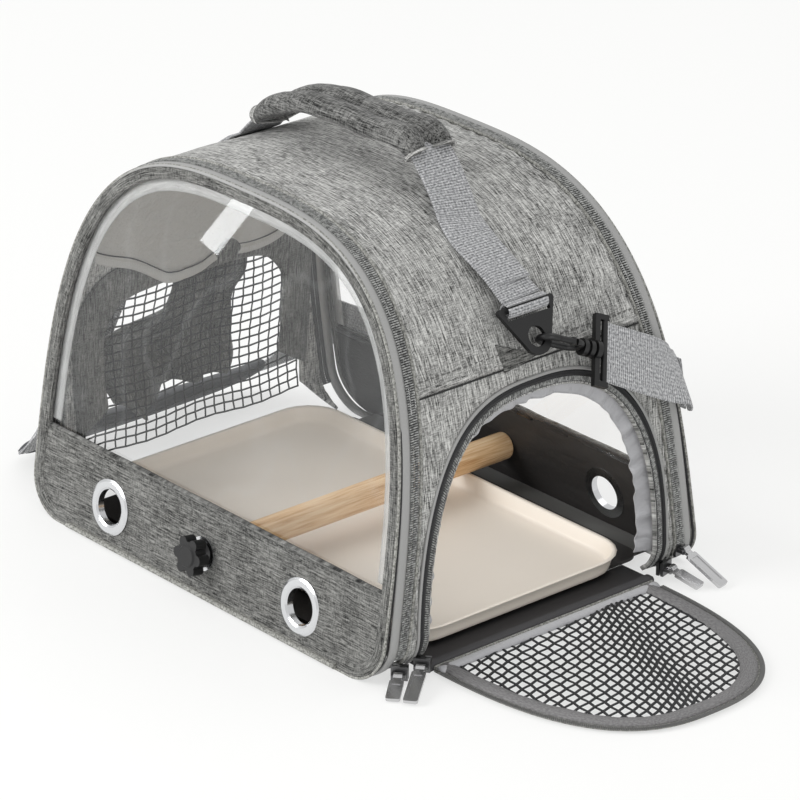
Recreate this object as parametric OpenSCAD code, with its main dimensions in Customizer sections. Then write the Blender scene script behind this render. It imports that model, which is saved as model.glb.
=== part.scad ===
// Soft travel carrier for a bird: an arched fabric tunnel with a clear window at each end,
// a mesh side door that lies open on the floor, a pull-out tray, a wooden perch and a strap.
// X runs along the end panels, Y from the front window to the back one, Z up from the floor.

/* [Body] */
// Width of the arched body along X
body_w = 350; // [320:5:380]
// Depth of the base along Y
base_d = 266; // [250:2:290]
// Height of the arch above the floor
body_h = 264; // [250:2:280]
// Inward lean of each end face, as a slope
face_lean = 0.156; // [0.12:0.004:0.18]
// Sharpness of the arch, 2 is an ellipse
arch_power = 3.05; // [2.6:0.05:3.4]
// Rounding of the bottom corners, across
corner_w = 30; // [24:1:36]
// Rounding of the bottom corners, upwards
corner_h = 28; // [24:1:34]
// Thickness of the padded fabric wall
wall = 3; // [2:0.5:4]
// Height of the seam between the side panels and the top
seam_h = 178; // [170:2:190]

/* [End panels] */
// Width of the fabric rim around a window
rim_w = 9.5; // [8:0.5:12]
// Thickness of the rim and of the lower band
panel_t = 3; // [2.5:0.5:3.5]
// Height of the fabric band under a window
band_h = 60; // [54:2:66]
// Thickness of the clear window film
film_t = 0.8; // [0.6:0.1:1]
// Depth of the edge strip at the floor
strip_low = 11; // [10:0.5:12]
// Depth of the edge strip at the crown
strip_high = 5; // [4:0.5:6]
// Width of one half of the zipper coil
coil_w = 3.5; // [3:0.25:4]
// How far the coil stands out of the fabric
coil_proud = 0.9; // [0.6:0.1:1.2]
// Width of the piping behind the coil
piping_w = 2; // [1.5:0.25:2.5]
// Width of the hinged part of the bottom edge
hinge_w = 274; // [260:2:280]

/* [Eyelets and knobs] */
// Distance of each eyelet from the middle
eyelet_x = 95; // [85:1:105]
// Height of the eyelets along the panel
eyelet_h = 27; // [24:0.5:32]
// Outer radius of an eyelet flange
eyelet_r = 18.4; // [16:0.2:20]
// Radius of the hole in an eyelet
eyelet_bore_r = 11.8; // [10:0.2:13]
// Radius of the knob head
knob_r = 13; // [11:0.5:15]
// Thickness of the knob head
knob_t = 8; // [6:0.5:10]
// Number of lobes on the knob
knob_lobes = 6; // [5:1:8]
// Radius of the knob's screw
screw_r = 3; // [2.5:0.25:3.5]
// Radius of the washer behind the knob
washer_r = 11; // [9:0.5:13]

/* [Perch and tray] */
// Radius of the wooden perch
perch_r = 9.25; // [8:0.25:10]
// Height of the perch axis above the floor
perch_h = 27.6; // [27.4:0.2:30]
// How much shorter the tray is than the body, along X
tray_short = 34; // [30:1:50]
// How much narrower the tray is than the base, along Y
tray_narrow = 81; // [80:1:96]
// Height of the tray
tray_h = 11.8; // [10:0.2:11.8]
// Wall thickness of the tray
tray_t = 1.8; // [1.4:0.2:2.4]
// Rounding of the tray's corners in plan
tray_round = 21; // [16:1:26]
// Thickness of the floor panel
base_t = 3; // [2.5:0.25:3.5]
// Thickness of the stiff floor board
board_t = 2.3; // [2:0.1:2.5]

/* [Side door] */
// Half the width of the side opening
door_half = 94.5; // [93.5:0.5:96]
// Height of the top of the side opening
door_top = 157; // [146:1:160]
// Sharpness of the door's arch
door_power = 2.65; // [2.3:0.05:2.9]
// Height of the sill under the door
sill_h = 5; // [4:0.25:5.25]
// Thickness of the fabric door frame
door_t = 3.5; // [3:0.25:4]
// Width of the fabric frame around the door's mesh
door_frame_w = 20; // [16:1:24]
// Width of the loose binding inside the opening
binding_w = 9; // [6:0.5:11]
// Thickness of a mesh sheet
mesh_t = 0.8; // [0.6:0.1:1.2]

/* [Handle and strap] */
// Width of the handle webbing
web_w = 32; // [28:1:36]
// Thickness of the webbing
web_t = 1.8; // [1.4:0.2:2.2]
// Height of the middle of the handle
handle_h = 290; // [286:1:294]
// Half the length of the padded grip
grip_half = 75; // [70:1:80]
// Width of the padded grip
grip_w = 40; // [38:1:44]
// Thickness of the padded grip
grip_t = 14; // [12:0.5:15]
// Width of the shoulder strap
strap_w = 38; // [34:1:40]
// Thickness of the loops for the strap
loop_t = 3; // [2.5:0.25:3.5]
// Radius of the hook's rod
rod_r = 2.2; // [1.8:0.1:2.4]

/* [Zip pulls] */
// Length of a zip pull
pull_l = 34; // [28:1:38]
// Width of a zip pull
pull_w = 9; // [7:0.5:11]
// Thickness of a zip pull
pull_t = 2.2; // [1.8:0.1:2.6]

/* [Hidden] */

half_w = body_w / 2;
half_d = base_d / 2;
lean_deg = atan(face_lean);
// a thin running gap between pieces that move apart
gap = 0.3;
far = 400;

// the plane through the middle of the zipper: its foot, measured in from the face, and its slope
zip_foot = strip_low + coil_w;
zip_slope = face_lean - (strip_low - strip_high) / body_h;
body_edge = coil_w + piping_w;

hull_fn = 32;
fine = 64;

tray_z = base_t + board_t + gap;
tray_l = body_w - tray_short;
tray_w = base_d - tray_narrow;
door_x = half_w + 1.3;
door_z = 3.2;
flap_len = door_top - door_z - 1.2;
flap_half = door_half - 1.2;
flap_start = 1;

// points of the arch outline in X and Z, taken in by a distance
arch_steps = 36;
corner_steps = 5;
function signed_pow(v, p) = (v < 0 ? -1 : 1) * pow(abs(v), p);
function corner_pts(inset, side) = [
    for (i = [0 : corner_steps])
        let (t = 90 * (side > 0 ? i : corner_steps - i) / corner_steps)
        [side * (half_w - corner_w + (corner_w - inset) * sin(t)),
         corner_h - (corner_h - inset) * cos(t)]];
function crown_pts(inset) = [
    for (i = [1 : arch_steps - 1])
        let (t = 180 * i / arch_steps)
        [(half_w - inset) * signed_pow(cos(t), 2 / arch_power),
         corner_h + (body_h - inset - corner_h) * pow(sin(t), 2 / arch_power)]];
function arch_pts(inset) = concat(corner_pts(inset, 1), crown_pts(inset), corner_pts(inset, -1));

// height and half width of the arch's outer face
function arch_x(z) = half_w * pow(1 - pow((z - corner_h) / (body_h - corner_h), arch_power), 1 / arch_power);
function arch_z(x) = corner_h + (body_h - corner_h) * pow(1 - pow(x / half_w, arch_power), 1 / arch_power);
function arch_slope(z) =
    let (rise = body_h - corner_h)
    atan((pow((z - corner_h) / rise, arch_power - 1) / rise)
         / (pow(arch_x(z) / half_w, arch_power - 1) / half_w));

// extrudes an X-Z outline along Y, and a Y-Z outline along X
module along_y(length) {
    rotate([90, 0, 0]) linear_extrude(length, center = true) children();
}
module along_x(x0, x1) {
    translate([x0, 0, 0]) rotate([90, 0, 90]) linear_extrude(x1 - x0) children();
}
module arch_ring(outer, inner) {
    along_y(far) difference() {
        polygon(arch_pts(outer));
        polygon(arch_pts(inner));
    }
}
// the layer of the front end between two leaning planes, each given by its foot and slope
module front_layer(foot_a, slope_a, foot_b, slope_b) {
    low = -10;
    high = body_h + 20;
    along_x(-far / 2, far / 2)
        polygon([[foot_a - half_d + slope_a * low, low], [foot_a - half_d + slope_a * high, high],
                 [foot_b - half_d + slope_b * high, high], [foot_b - half_d + slope_b * low, low]]);
}
module face_layer(depth_a, depth_b) {
    front_layer(depth_a, face_lean, depth_b, face_lean);
}
module zip_layer(depth_a, depth_b) {
    front_layer(zip_foot + depth_a, zip_slope, zip_foot + depth_b, zip_slope);
}
// everything between the two zippers
module between_zips(clear) {
    low = -10;
    high = body_h + 20;
    foot = half_d - zip_foot - clear;
    along_x(-far / 2, far / 2)
        polygon([[-foot + zip_slope * low, low], [foot - zip_slope * low, low],
                 [foot - zip_slope * high, high], [-foot + zip_slope * high, high]]);
}
module height_range(z0, z1) {
    translate([-far / 2, -far / 2, z0]) cube([far, far, z1 - z0]);
}
// the notch over the base's edge, on which the lower edge of an end panel is sewn
module hinge_notch() {
    translate([-hinge_w / 2, -far / 2, -1]) cube([hinge_w, far, base_t + gap + 1]);
}
// local frame on the front face: X along the face, Y into the carrier, Z up the face
module on_front(x, h) {
    translate([0, -half_d, 0]) rotate([-lean_deg, 0, 0]) translate([x, 0, h]) children();
}

// body shell
module base_panel() {
    color("#5c5d5f") {
        translate([-(hinge_w - 2) / 2, -half_d, 0]) cube([hinge_w - 2, base_d, base_t]);
        intersection() {
            translate([-(half_w - corner_w), -far / 2, 0]) cube([body_w - 2 * corner_w, far, base_t]);
            between_zips(body_edge);
        }
    }
}
module base_board() {
    board_l = body_w - 2 * corner_w;
    board_w = base_d - 2 * (zip_foot + body_edge) - 4;
    color("#2f2c2b") translate([0, 0, base_t]) rounded_plate(board_l, board_w, 12, board_t);
}
module rounded_plan(l, w, r) {
    square([l - 2 * r, w], center = true);
    square([l, w - 2 * r], center = true);
    for (sx = [-1, 1], sy = [-1, 1])
        translate([sx * (l / 2 - r), sy * (w / 2 - r)]) circle(r, $fn = fine);
}
module rounded_plate(l, w, r, t) {
    linear_extrude(t) rounded_plan(l, w, r);
}
module shell_piece(z0, z1) {
    intersection() {
        arch_ring(0, wall);
        between_zips(body_edge);
        height_range(z0, z1);
    }
}
module top_gusset() {
    color("#8b8d8f") shell_piece(seam_h, body_h + 1);
}
function door_pts(inset) = concat(
    [[door_half - inset, sill_h + inset]],
    [for (i = [1 : 23])
        let (t = 180 * i / 24)
        [(door_half - inset) * signed_pow(cos(t), 2 / door_power),
         sill_h + inset + (door_top - sill_h - 2 * inset) * pow(sin(t), 2 / door_power)]],
    [[inset - door_half, sill_h + inset]]);
module door_shape(inset) {
    polygon(door_pts(inset));
}
module side_panel() {
    color("#929496") difference() {
        intersection() {
            shell_piece(base_t, seam_h);
            translate([half_w - corner_w, -far / 2, 0]) cube([far, far, far]);
        }
        along_x(half_w - corner_w - 1, half_w + 10) {
            door_shape(0);
            translate([-door_half, -1]) square([2 * door_half, sill_h + 1.01]);
        }
    }
}
module right_side_panel() {
    color("#929496") difference() {
        side_panel();
        back_slider_room();
    }
}
module left_side_panel() {
    mirror([1, 0, 0]) side_panel();
    left_lower_skirt();
}
// the left side has no sill, so its wall goes down to the base
module left_lower_skirt() {
    color("#929496") mirror([1, 0, 0]) intersection() {
        arch_ring(0, wall);
        translate([half_w - corner_w, -door_half, base_t]) cube([far, 2 * door_half, window_low - base_t]);
    }
}
window_low = 24;
module ceiling_lining() {
    color("#a3a4a6") intersection() {
        arch_ring(wall, wall + 1);
        between_zips(body_edge);
        height_range(seam_h + 6, body_h);
    }
}
module left_mesh() {
    color("#26282a") mirror([1, 0, 0]) intersection() {
        arch_ring(wall, wall + mesh_t);
        along_x(100, half_w) door_shape(-4);
        height_range(window_low - 4, far);
    }
}
// cover flap sewn above the left window, hanging loose with its hem kicked out on the floor
flap_top = 166;
flap_reach = 46;
flap_cover_half = 90;
module shade_flap() {
    t = 2;
    steps = 12;
    function hang(k) =
        let (z = 4 + (flap_top - 4) * k, start = arch_x(flap_top) + 1.6)
        [start + (half_w + flap_reach - start) * pow(1 - k, 1.8) + 8 * sin(180 * k), z];
    outer = [for (i = [0 : steps]) hang(i / steps) + [t, 0]];
    inner = [for (i = [steps : -1 : 0]) hang(i / steps)];
    color("#77797b") mirror([1, 0, 0]) intersection() {
        along_y(2 * flap_cover_half) polygon(concat(outer, inner));
        along_x(half_w - 30, half_w + 100)
            translate([0, flap_top / 2 + 2]) rounded_plan(2 * flap_cover_half, flap_top, 22);
    }
}

// zippers round the end panels
module zip_half(depth_a, depth_b) {
    intersection() {
        arch_ring(-coil_proud, wall / 2);
        zip_layer(depth_a, depth_b);
        height_range(zip_low, far);
    }
}
zip_low = 17;
module zip_body_half() {
    color("#6b6d70") zip_half(gap / 2, body_edge);
}
module zip_panel_half() {
    color("#6b6d70") zip_half(-coil_w, -gap / 2);
}
module front_zip_body_half() {
    zip_body_half();
}
module back_zip_body_half() {
    color("#6b6d70") difference() {
        mirror([0, 1, 0]) zip_body_half();
        back_slider_room();
    }
}
module front_zip_panel_half() {
    zip_panel_half();
}
module back_zip_panel_half() {
    color("#6b6d70") difference() {
        mirror([0, 1, 0]) zip_panel_half();
        back_slider_room();
    }
}
// space for the back slider, which stands at the end of the back zipper
module back_slider_room() {
    at_slider(back_slider, 11, 0) translate([-9, -5.6, -12]) cube([20, 11.2, 18.9]);
}

// end panels
module panel_rim() {
    color("#5e6062") difference() {
        intersection() {
            arch_ring(0, rim_w);
            face_layer(0, panel_t);
        }
        hinge_notch();
    }
}
module panel_edge_strip() {
    color("#a9abad") difference() {
        intersection() {
            arch_ring(0, wall / 2);
            front_layer(panel_t, face_lean, zip_foot - coil_w, zip_slope);
        }
        hinge_notch();
    }
}
module panel_band() {
    color("#55575a") difference() {
        intersection() {
            along_y(far) polygon(arch_pts(rim_w));
            face_layer(0, panel_t);
            height_range(0, band_h);
        }
        for (side = [-1, 1])
            on_front(side * eyelet_x, eyelet_h)
                rotate([90, 0, 0]) cylinder(h = 40, r = eyelet_bore_r + 1.1, center = true, $fn = fine);
        knob_place() rotate([90, 0, 0]) cylinder(h = 40, r = screw_r + 0.5, center = true, $fn = fine);
    }
}
module panel_window() {
    film_edge = 5;
    color([0.85, 0.9, 0.92, 0.35]) intersection() {
        along_y(far) polygon(arch_pts(film_edge));
        face_layer(panel_t, panel_t + film_t);
        height_range(band_h - film_edge, far);
    }
}
// one eyelet: a rolled flange outside, a neck through the band, a flat flange inside
module eyelet() {
    lip = 1.2;
    neck = eyelet_bore_r + 1;
    depth = panel_t * cos(lean_deg) + 0.02;
    rotate([90, 0, 0]) rotate_extrude($fn = fine)
        polygon([[eyelet_bore_r, -panel_t - lip], [eyelet_bore_r + 6, -panel_t - lip],
                 [eyelet_bore_r + 6, -depth], [neck, -depth], [neck, 0.02],
                 [eyelet_r, 0.02], [eyelet_r, 0.4], [eyelet_r - 1.6, lip], [eyelet_bore_r + 1.4, lip],
                 [eyelet_bore_r, 0.3]]);
}
module panel_eyelets() {
    color("#d5d6d8") for (side = [-1, 1]) on_front(side * eyelet_x, eyelet_h) eyelet();
}
module knob_place() {
    on_front(0, (perch_h + 0.9) / cos(lean_deg)) children();
}
washer_t = 1.2;
module panel_washer() {
    color("#c9cacc") knob_place() rotate([90, 0, 0]) difference() {
        cylinder(h = washer_t, r = washer_r, $fn = fine);
        translate([0, 0, -1]) cylinder(h = washer_t + 2, r = screw_r + 0.4, $fn = fine);
    }
}
// lobed knob with its screw, which reaches into the end of the perch
module knob() {
    neck_t = 4;
    screw_reach = 7.4;
    color("#1d1e20") knob_place() rotate([90, 0, 0]) {
        translate([0, 0, washer_t + gap]) {
            cylinder(h = neck_t, r1 = 8.5, r2 = 6.5, $fn = fine);
            translate([0, 0, neck_t]) {
                cylinder(h = knob_t, r = knob_r - 3.4, $fn = fine);
                for (i = [0 : knob_lobes - 1])
                    rotate(360 / knob_lobes * i) translate([knob_r - 3.6, 0, 0])
                        cylinder(h = knob_t, r = 3.6, $fn = 24);
            }
            translate([0, 0, neck_t + knob_t]) cylinder(h = 1, r1 = 7.5, r2 = 6.5, $fn = fine);
        }
        translate([0, 0, -screw_reach]) cylinder(h = screw_reach + 2, r = screw_r, $fn = fine);
    }
}
module front_rim() {
    panel_rim();
}
module front_edge_strip() {
    panel_edge_strip();
}
module front_band() {
    panel_band();
}
module front_window() {
    panel_window();
}
module front_eyelets() {
    panel_eyelets();
}
module front_washer() {
    panel_washer();
}
module front_knob() {
    knob();
}
module back_rim() {
    mirror([0, 1, 0]) panel_rim();
}
module back_edge_strip() {
    color("#a9abad") difference() {
        mirror([0, 1, 0]) panel_edge_strip();
        back_slider_room();
    }
}
module back_band() {
    mirror([0, 1, 0]) panel_band();
}
module back_window() {
    mirror([0, 1, 0]) panel_window();
}
module back_eyelets() {
    mirror([0, 1, 0]) panel_eyelets();
}
module back_washer() {
    mirror([0, 1, 0]) panel_washer();
}
module back_knob() {
    mirror([0, 1, 0]) knob();
}

// perch and tray
perch_end = half_d - face_lean * (perch_h + perch_r) - panel_t - 0.5;
insert_r = 6.4;
insert_bore = screw_r + 1.3;
module perch() {
    color("#d9b48a") difference() {
        translate([0, 0, perch_h]) rotate([90, 0, 0])
            cylinder(h = 2 * perch_end, r = perch_r, center = true, $fn = fine);
        for (side = [-1, 1])
            translate([0, side * (perch_end - 5), perch_h]) rotate([90, 0, 0])
                cylinder(h = 10.02, r = insert_r + 0.05, center = true, $fn = fine);
    }
}
module perch_inserts() {
    color("#b08d4a") for (side = [-1, 1])
        translate([0, side * (perch_end - 5), perch_h]) rotate([90, 0, 0]) difference() {
            cylinder(h = 10, r = insert_r, center = true, $fn = fine);
            cylinder(h = 12, r = insert_bore, center = true, $fn = fine);
        }
}
module tray() {
    draft = 5;
    grow = [tray_l / (tray_l - 2 * draft), tray_w / (tray_w - 2 * draft)];
    color("#ece4d8") translate([0, 0, tray_z]) difference() {
        linear_extrude(tray_h, scale = grow)
            rounded_plan(tray_l - 2 * draft, tray_w - 2 * draft, tray_round - draft, $fn = 48);
        translate([0, 0, tray_t]) linear_extrude(tray_h, scale = grow)
            rounded_plan(tray_l - 2 * (draft + tray_t), tray_w - 2 * (draft + tray_t),
                         tray_round - draft - tray_t, $fn = 48);
    }
}

// side door
module door_sill() {
    color("#9a9ca0") {
        translate([half_w - corner_w, -(door_half - gap), 0])
            cube([corner_w - 0.4, 2 * (door_half - gap), base_t]);
        translate([half_w - 8, -(door_half - gap), base_t])
            cube([7.6, 2 * (door_half - gap), sill_h - base_t]);
    }
}
module door_opening_zip() {
    color("#6b6d70") intersection() {
        arch_ring(-coil_proud, 0);
        along_x(100, far / 2) difference() {
            door_shape(-6);
            door_shape(0);
        }
        height_range(sill_h + 1, far);
    }
}
// loose binding inside the opening: it stays clear of the tray's way and of the closed door
module door_binding() {
    deep = 7.5;
    band_t = 1.5;
    color("#b4b5ba") {
        intersection() {
            arch_ring(wall, deep + band_t);
            along_x(100, far / 2) difference() {
                door_shape(-2.5);
                door_shape(-1);
            }
            height_range(binding_low, far);
        }
        intersection() {
            arch_ring(deep, deep + band_t);
            along_x(100, far / 2) difference() {
                door_shape(-1);
                door_shape(binding_w);
            }
            height_range(binding_low, far);
        }
    }
}
binding_low = 21;
// the door at rest lies open on the floor: its arch points away along X
function flap_pts(inset, foot = flap_start) = concat(
    [[foot, -(flap_half - inset)]],
    [for (i = [1 : 23])
        let (t = 180 * i / 24)
        [foot + (flap_len - foot - inset) * pow(sin(t), 2 / door_power),
         -(flap_half - inset) * signed_pow(cos(t), 2 / door_power)]],
    [[foot, flap_half - inset]]);
module flap_layer(z0, z1) {
    translate([door_x, 0, z0]) linear_extrude(z1 - z0) children();
}
flap_low = 0.2;
coil_edge = 5;
module door_frame() {
    color("#85878b") flap_layer(flap_low + mesh_t, flap_low + door_t) difference() {
        polygon(flap_pts(coil_edge));
        polygon(flap_pts(door_frame_w, door_frame_w));
        translate([-9, -far / 2]) square([9 + cord_r + 0.02, far]);
    }
}
module door_mesh() {
    color("#202224") flap_layer(flap_low, flap_low + mesh_t) polygon(flap_pts(coil_edge + 1));
}
module door_zip_half() {
    color("#6b6d70") flap_layer(flap_low + 0.6, flap_low + 2.8) difference() {
        polygon(flap_pts(0));
        polygon(flap_pts(coil_edge));
        translate([-1, -far / 2]) square([9, far]);
    }
}

// handle
leave_x = 105;
grip_drop = 18;
function handle_z(x) = handle_h - grip_drop * pow(abs(x) / grip_half,
    ln((handle_h - arch_z(leave_x) - 1.3) / grip_drop) / ln(leave_x / grip_half));
loop_h = 205;
loop_out = 9.5;
loop_tilt = arch_slope(loop_h);
sleeve_r = 5;
// half of the webbing's middle line in X and Z, from the crown to the loop
wall_run = [for (i = [0 : 10])
    let (z = arch_z(leave_x) + (loop_h + 4 - arch_z(leave_x)) * i / 10)
    [arch_x(z), z] + (1.3 + (loop_out - 1.3) * pow(i / 10, 3)) * [cos(arch_slope(z)), sin(arch_slope(z))]];
web_line = concat([for (x = [0 : 10.4 : leave_x - 6]) [x, handle_z(x)]], wall_run);
function mirrored(line) = concat([for (i = [len(line) - 1 : -1 : 1]) [-line[i][0], line[i][1]]], line);
function line_dir(line, i) =
    let (d = line[min(i + 1, len(line) - 1)] - line[max(i - 1, 0)])
    d / norm(d);
function shifted(line, off) = [
    for (i = [0 : len(line) - 1])
        let (d = line_dir(line, i))
        line[i] + off * [-d[1], d[0]]];
function reversed(list) = [for (i = [len(list) - 1 : -1 : 0]) list[i]];
// triangles between the rings of a band with n points in each of its m rings
function skin(n, m) = [
    for (i = [0 : m - 2], j = [0 : n - 1], k = [0, 1])
        let (a = i * n + j, b = i * n + (j + 1) % n, c = b + n, d = a + n)
        k == 0 ? [a, c, b] : [a, d, c]];
module handle_core() {
    line = mirrored(web_line);
    along_y(web_w) polygon(concat(shifted(line, web_t / 2), reversed(shifted(line, -web_t / 2))));
}
module handle_webbing() {
    color("#9c9da6") {
        difference() {
            handle_core();
            for (side = [0, 1]) mirror([side, 0, 0]) loop_axis() sleeve_core(sleeve_r - 0.01, web_w + 2);
        }
        for (side = [0, 1]) mirror([side, 0, 0]) loop_axis() difference() {
            sleeve_core(sleeve_r, web_w);
            sleeve_core(sleeve_r - 1.6, web_w + 2);
        }
    }
}
module sleeve_core(r, length) {
    rotate([90, 0, 0]) cylinder(h = length, r = r, center = true, $fn = fine);
}
// padded wrap round the webbing: two soft ridges side by side
module handle_grip() {
    line = [for (k = [-12 : 12]) let (x = grip_half * k / 12) [x, handle_z(x)]];
    ring = [for (i = [0 : 23])
        let (t = 360 * i / 24, y = grip_w / 2 * cos(t), lobe = sin(t) * grip_t / 2)
        [y, lobe * (0.72 + 0.28 * pow(abs(sin(180 * y / (grip_w / 2))), 0.8)) + 1]];
    pts = [for (i = [0 : len(line) - 1], p = ring)
        let (d = line_dir(line, i))
        [line[i][0] - d[1] * p[1], p[0], line[i][1] + d[0] * p[1]]];
    n = len(ring);
    m = len(line);
    first = [for (j = [0 : n - 1]) j];
    last = [for (j = [n - 1 : -1 : 0]) (m - 1) * n + j];
    color("#6c6e71") difference() {
        polyhedron(points = pts, faces = concat([first], skin(n, m), [last]), convexity = 6);
        handle_core();
    }
}

// strap loops and hooks, drawn on the right side and mirrored for the left one
module loop_axis() {
    translate([arch_x(loop_h) + loop_out * cos(loop_tilt), 0, loop_h + loop_out * sin(loop_tilt)])
        rotate([0, -loop_tilt, 0]) children();
}
loop_hole_drop = 20;
loop_hole_r = 6.5;
module loop_plan() {
    difference() {
        hull() {
            for (side = [-1, 1]) translate([side * 20, -0.2]) circle(2.2, $fn = hull_fn);
            translate([0, -loop_hole_drop - 1]) circle(10.5, $fn = hull_fn);
        }
        translate([-17, -sleeve_r - 1.3]) square([34, sleeve_r - 0.6]);
        translate([0, -loop_hole_drop]) circle(loop_hole_r, $fn = hull_fn);
    }
}
module strap_loop() {
    color("#232427") loop_axis() rotate([90, 0, 90])
        linear_extrude(loop_t, center = true) loop_plan();
}
module loop_right() {
    strap_loop();
}
module loop_left() {
    mirror([1, 0, 0]) strap_loop();
}
module loop_patch() {
    color("#8b8d8f") intersection() {
        arch_ring(-1.2, 0);
        along_x(100, far / 2) polygon([[-24, seam_h + 13], [6, seam_h], [-22, seam_h - 4]]);
    }
}
module loop_patches() {
    loop_patch();
    mirror([1, 0, 0]) loop_patch();
}
// hook frame: X points out of the wall, Y along the hook from the loop to the strap
hook_drop = 26;
left_hook_drop = 120;
module hook_axis(drop = hook_drop) {
    loop_axis() translate([0, 0, -loop_hole_drop]) rotate([-drop, 0, 0]) children();
}
module left_hook_axis() {
    mirror([1, 0, 0]) hook_axis(left_hook_drop) children();
}
function hook_point(drop, along) =
    let (t = loop_tilt, down = loop_hole_drop + along * sin(drop))
    [arch_x(loop_h) + loop_out * cos(t) + down * sin(t), along * cos(drop),
     loop_h + loop_out * sin(t) - down * cos(t)];
eye_half = 6.5;
eye_start = 10.1;
eye_end = 26;
module eye_turn(y, a0) {
    translate([0, y, 0]) rotate(a0) rotate_extrude(angle = 180, $fn = fine)
        translate([eye_half, 0]) circle(rod_r, $fn = 24);
}
module hook() {
    barrel_start = eye_end + eye_half + rod_r - 1;
    color("#1b1c1e") {
        eye_turn(eye_start, 180);
        eye_turn(eye_end, 0);
        translate([-eye_half, eye_start, 0]) rotate([-90, 0, 0])
            cylinder(h = eye_end - eye_start, r = rod_r, $fn = 24);
        translate([eye_half, eye_start, 0]) rotate([-90, 0, 0]) cylinder(h = 3, r = rod_r, $fn = 24);
        translate([0, barrel_start, 0]) rotate([-90, 0, 0]) {
            cylinder(h = 3, r = 5.4, $fn = fine);
            translate([0, 0, 3]) cylinder(h = 2, r = 3.6, $fn = fine);
            translate([0, 0, 5]) cylinder(h = 3, r = 5.4, $fn = fine);
            translate([0, 0, 8]) cylinder(h = 1.6, r = 3.6, $fn = fine);
        }
    }
}
hook_len = eye_end + eye_half + rod_r - 1 + 9.6;
module hook_right() {
    hook_axis() hook();
}
module hook_left() {
    left_hook_axis() hook();
}
// sprung gate that closes the outer side of the hook, with its pivot at the barrel's end
gate_pivot = eye_end - gap - rod_r;
module gate() {
    color("#2b2c2f") translate([eye_half, 0, 0]) rotate([-90, 0, 0]) {
        translate([0, 0, eye_start + 3 + gap])
            cylinder(h = gate_pivot - eye_start - 3 - gap, r = rod_r - 0.2, $fn = 24);
        translate([0, 0, gate_pivot]) rotate([90, 0, 0])
            cylinder(h = 2 * rod_r, r = rod_r - 0.2, center = true, $fn = hull_fn);
    }
}
module gate_right() {
    hook_axis() gate();
}
module gate_left() {
    left_hook_axis() gate();
}
// bar frame on the strap's end, with the swivel socket in its middle
bar_l = strap_w + 8;
bar_reach = 8;
module strap_bar() {
    color("#1f2022") translate([0, hook_len, 0]) {
        rotate([-90, 0, 0]) cylinder(h = 3.5, r = 6, $fn = fine);
        for (side = [-1, 1]) {
            translate([-2, 0, side > 0 ? 4 : -bar_l / 2]) cube([4, 3.5, bar_l / 2 - 4]);
            translate([-2, 0, side > 0 ? bar_l / 2 - 3.5 : -bar_l / 2]) cube([4, bar_reach + 2, 3.5]);
        }
        translate([0, bar_reach, 0]) cylinder(h = bar_l, r = 2, center = true, $fn = 24);
    }
}
module strap_bar_right() {
    hook_axis() strap_bar();
}
module strap_bar_left() {
    left_hook_axis() strap_bar();
}

// a flat band carried along a line; each station is a middle point and the way its width runs
function unit(v) = v / norm(v);
function band_ring(line, i, profile) =
    let (d = unit(line[min(i + 1, len(line) - 1)][0] - line[max(i - 1, 0)][0]),
         w = unit(line[i][1]),
         n = unit(cross(d, w)))
    [for (p = profile) line[i][0] + p[0] * w + p[1] * n];
module band(line, profile) {
    n = len(profile);
    m = len(line);
    pts = [for (i = [0 : m - 1], p = band_ring(line, i, profile)) p];
    polyhedron(points = pts, convexity = 8,
               faces = concat([[for (j = [0 : n - 1]) j]], skin(n, m),
                              [[for (j = [n - 1 : -1 : 0]) (m - 1) * n + j]]));
}
strap_profile = [[strap_w / 2, -web_t / 2], [strap_w / 2, web_t / 2],
                 [-strap_w / 2, web_t / 2], [-strap_w / 2, -web_t / 2]];

// the strap's way: from the right hook round the back corner, down across the back window,
// then forward along the floor on the left and up to the left hook
back_out = [0, cos(lean_deg), sin(lean_deg)];
back_up = [0, -sin(lean_deg), cos(lean_deg)];
strap_right_z = 141;
strap_left_z = 60;
corner_width = [-0.32, -0.146, 0.936];
strap_mid_z = (strap_right_z + strap_left_z) / 2;
strap_fall = (strap_right_z - strap_left_z) / 2;
function back_strap_turn(x) = 90 * x / (half_w + 2);
function back_strap_z(x) = strap_mid_z + strap_fall * sin(back_strap_turn(x));
function back_strap_rise(x) = atan(strap_fall * PI / 2 / (half_w + 2) * cos(back_strap_turn(x)));
function back_point(x) =
    let (z = back_strap_z(x), a = back_strap_rise(x),
         across = cos(a) * back_up - sin(a) * [1, 0, 0],
         k = max(0, min(1, (x - 120) / 50)))
    [[x, half_d - face_lean * z, z] + back_out * (web_t / 2 + 0.1),
     (1 - k) * across + k * corner_width];
bar_right = hook_point(hook_drop, hook_len + bar_reach);
bar_left = hook_point(left_hook_drop, hook_len + bar_reach);
right_line = [
    [bar_right, [-0.457, 0.438, 0.774]],
    [[half_w + 4, 58, 168.3], [-0.43, 0.42, 0.8]],
    [[half_w + 6.3, 80, 159.5], [-0.38, 0.34, 0.86]],
    [[half_w + 6, 97, 152.6], [-0.34, 0.12, 0.93]],
    [[half_w + 5.2, 106, 148.4], corner_width],
    [[half_w + 4.4, 110, 146.2], corner_width],
    [[half_w + 2.8, 112, 143.6], corner_width],
    back_point(half_w), back_point(half_w - 10)];
back_line = [for (k = [-19 : 19]) back_point(k * (half_w + 8) / 19)];
up = [0, 0, 1];
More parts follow.
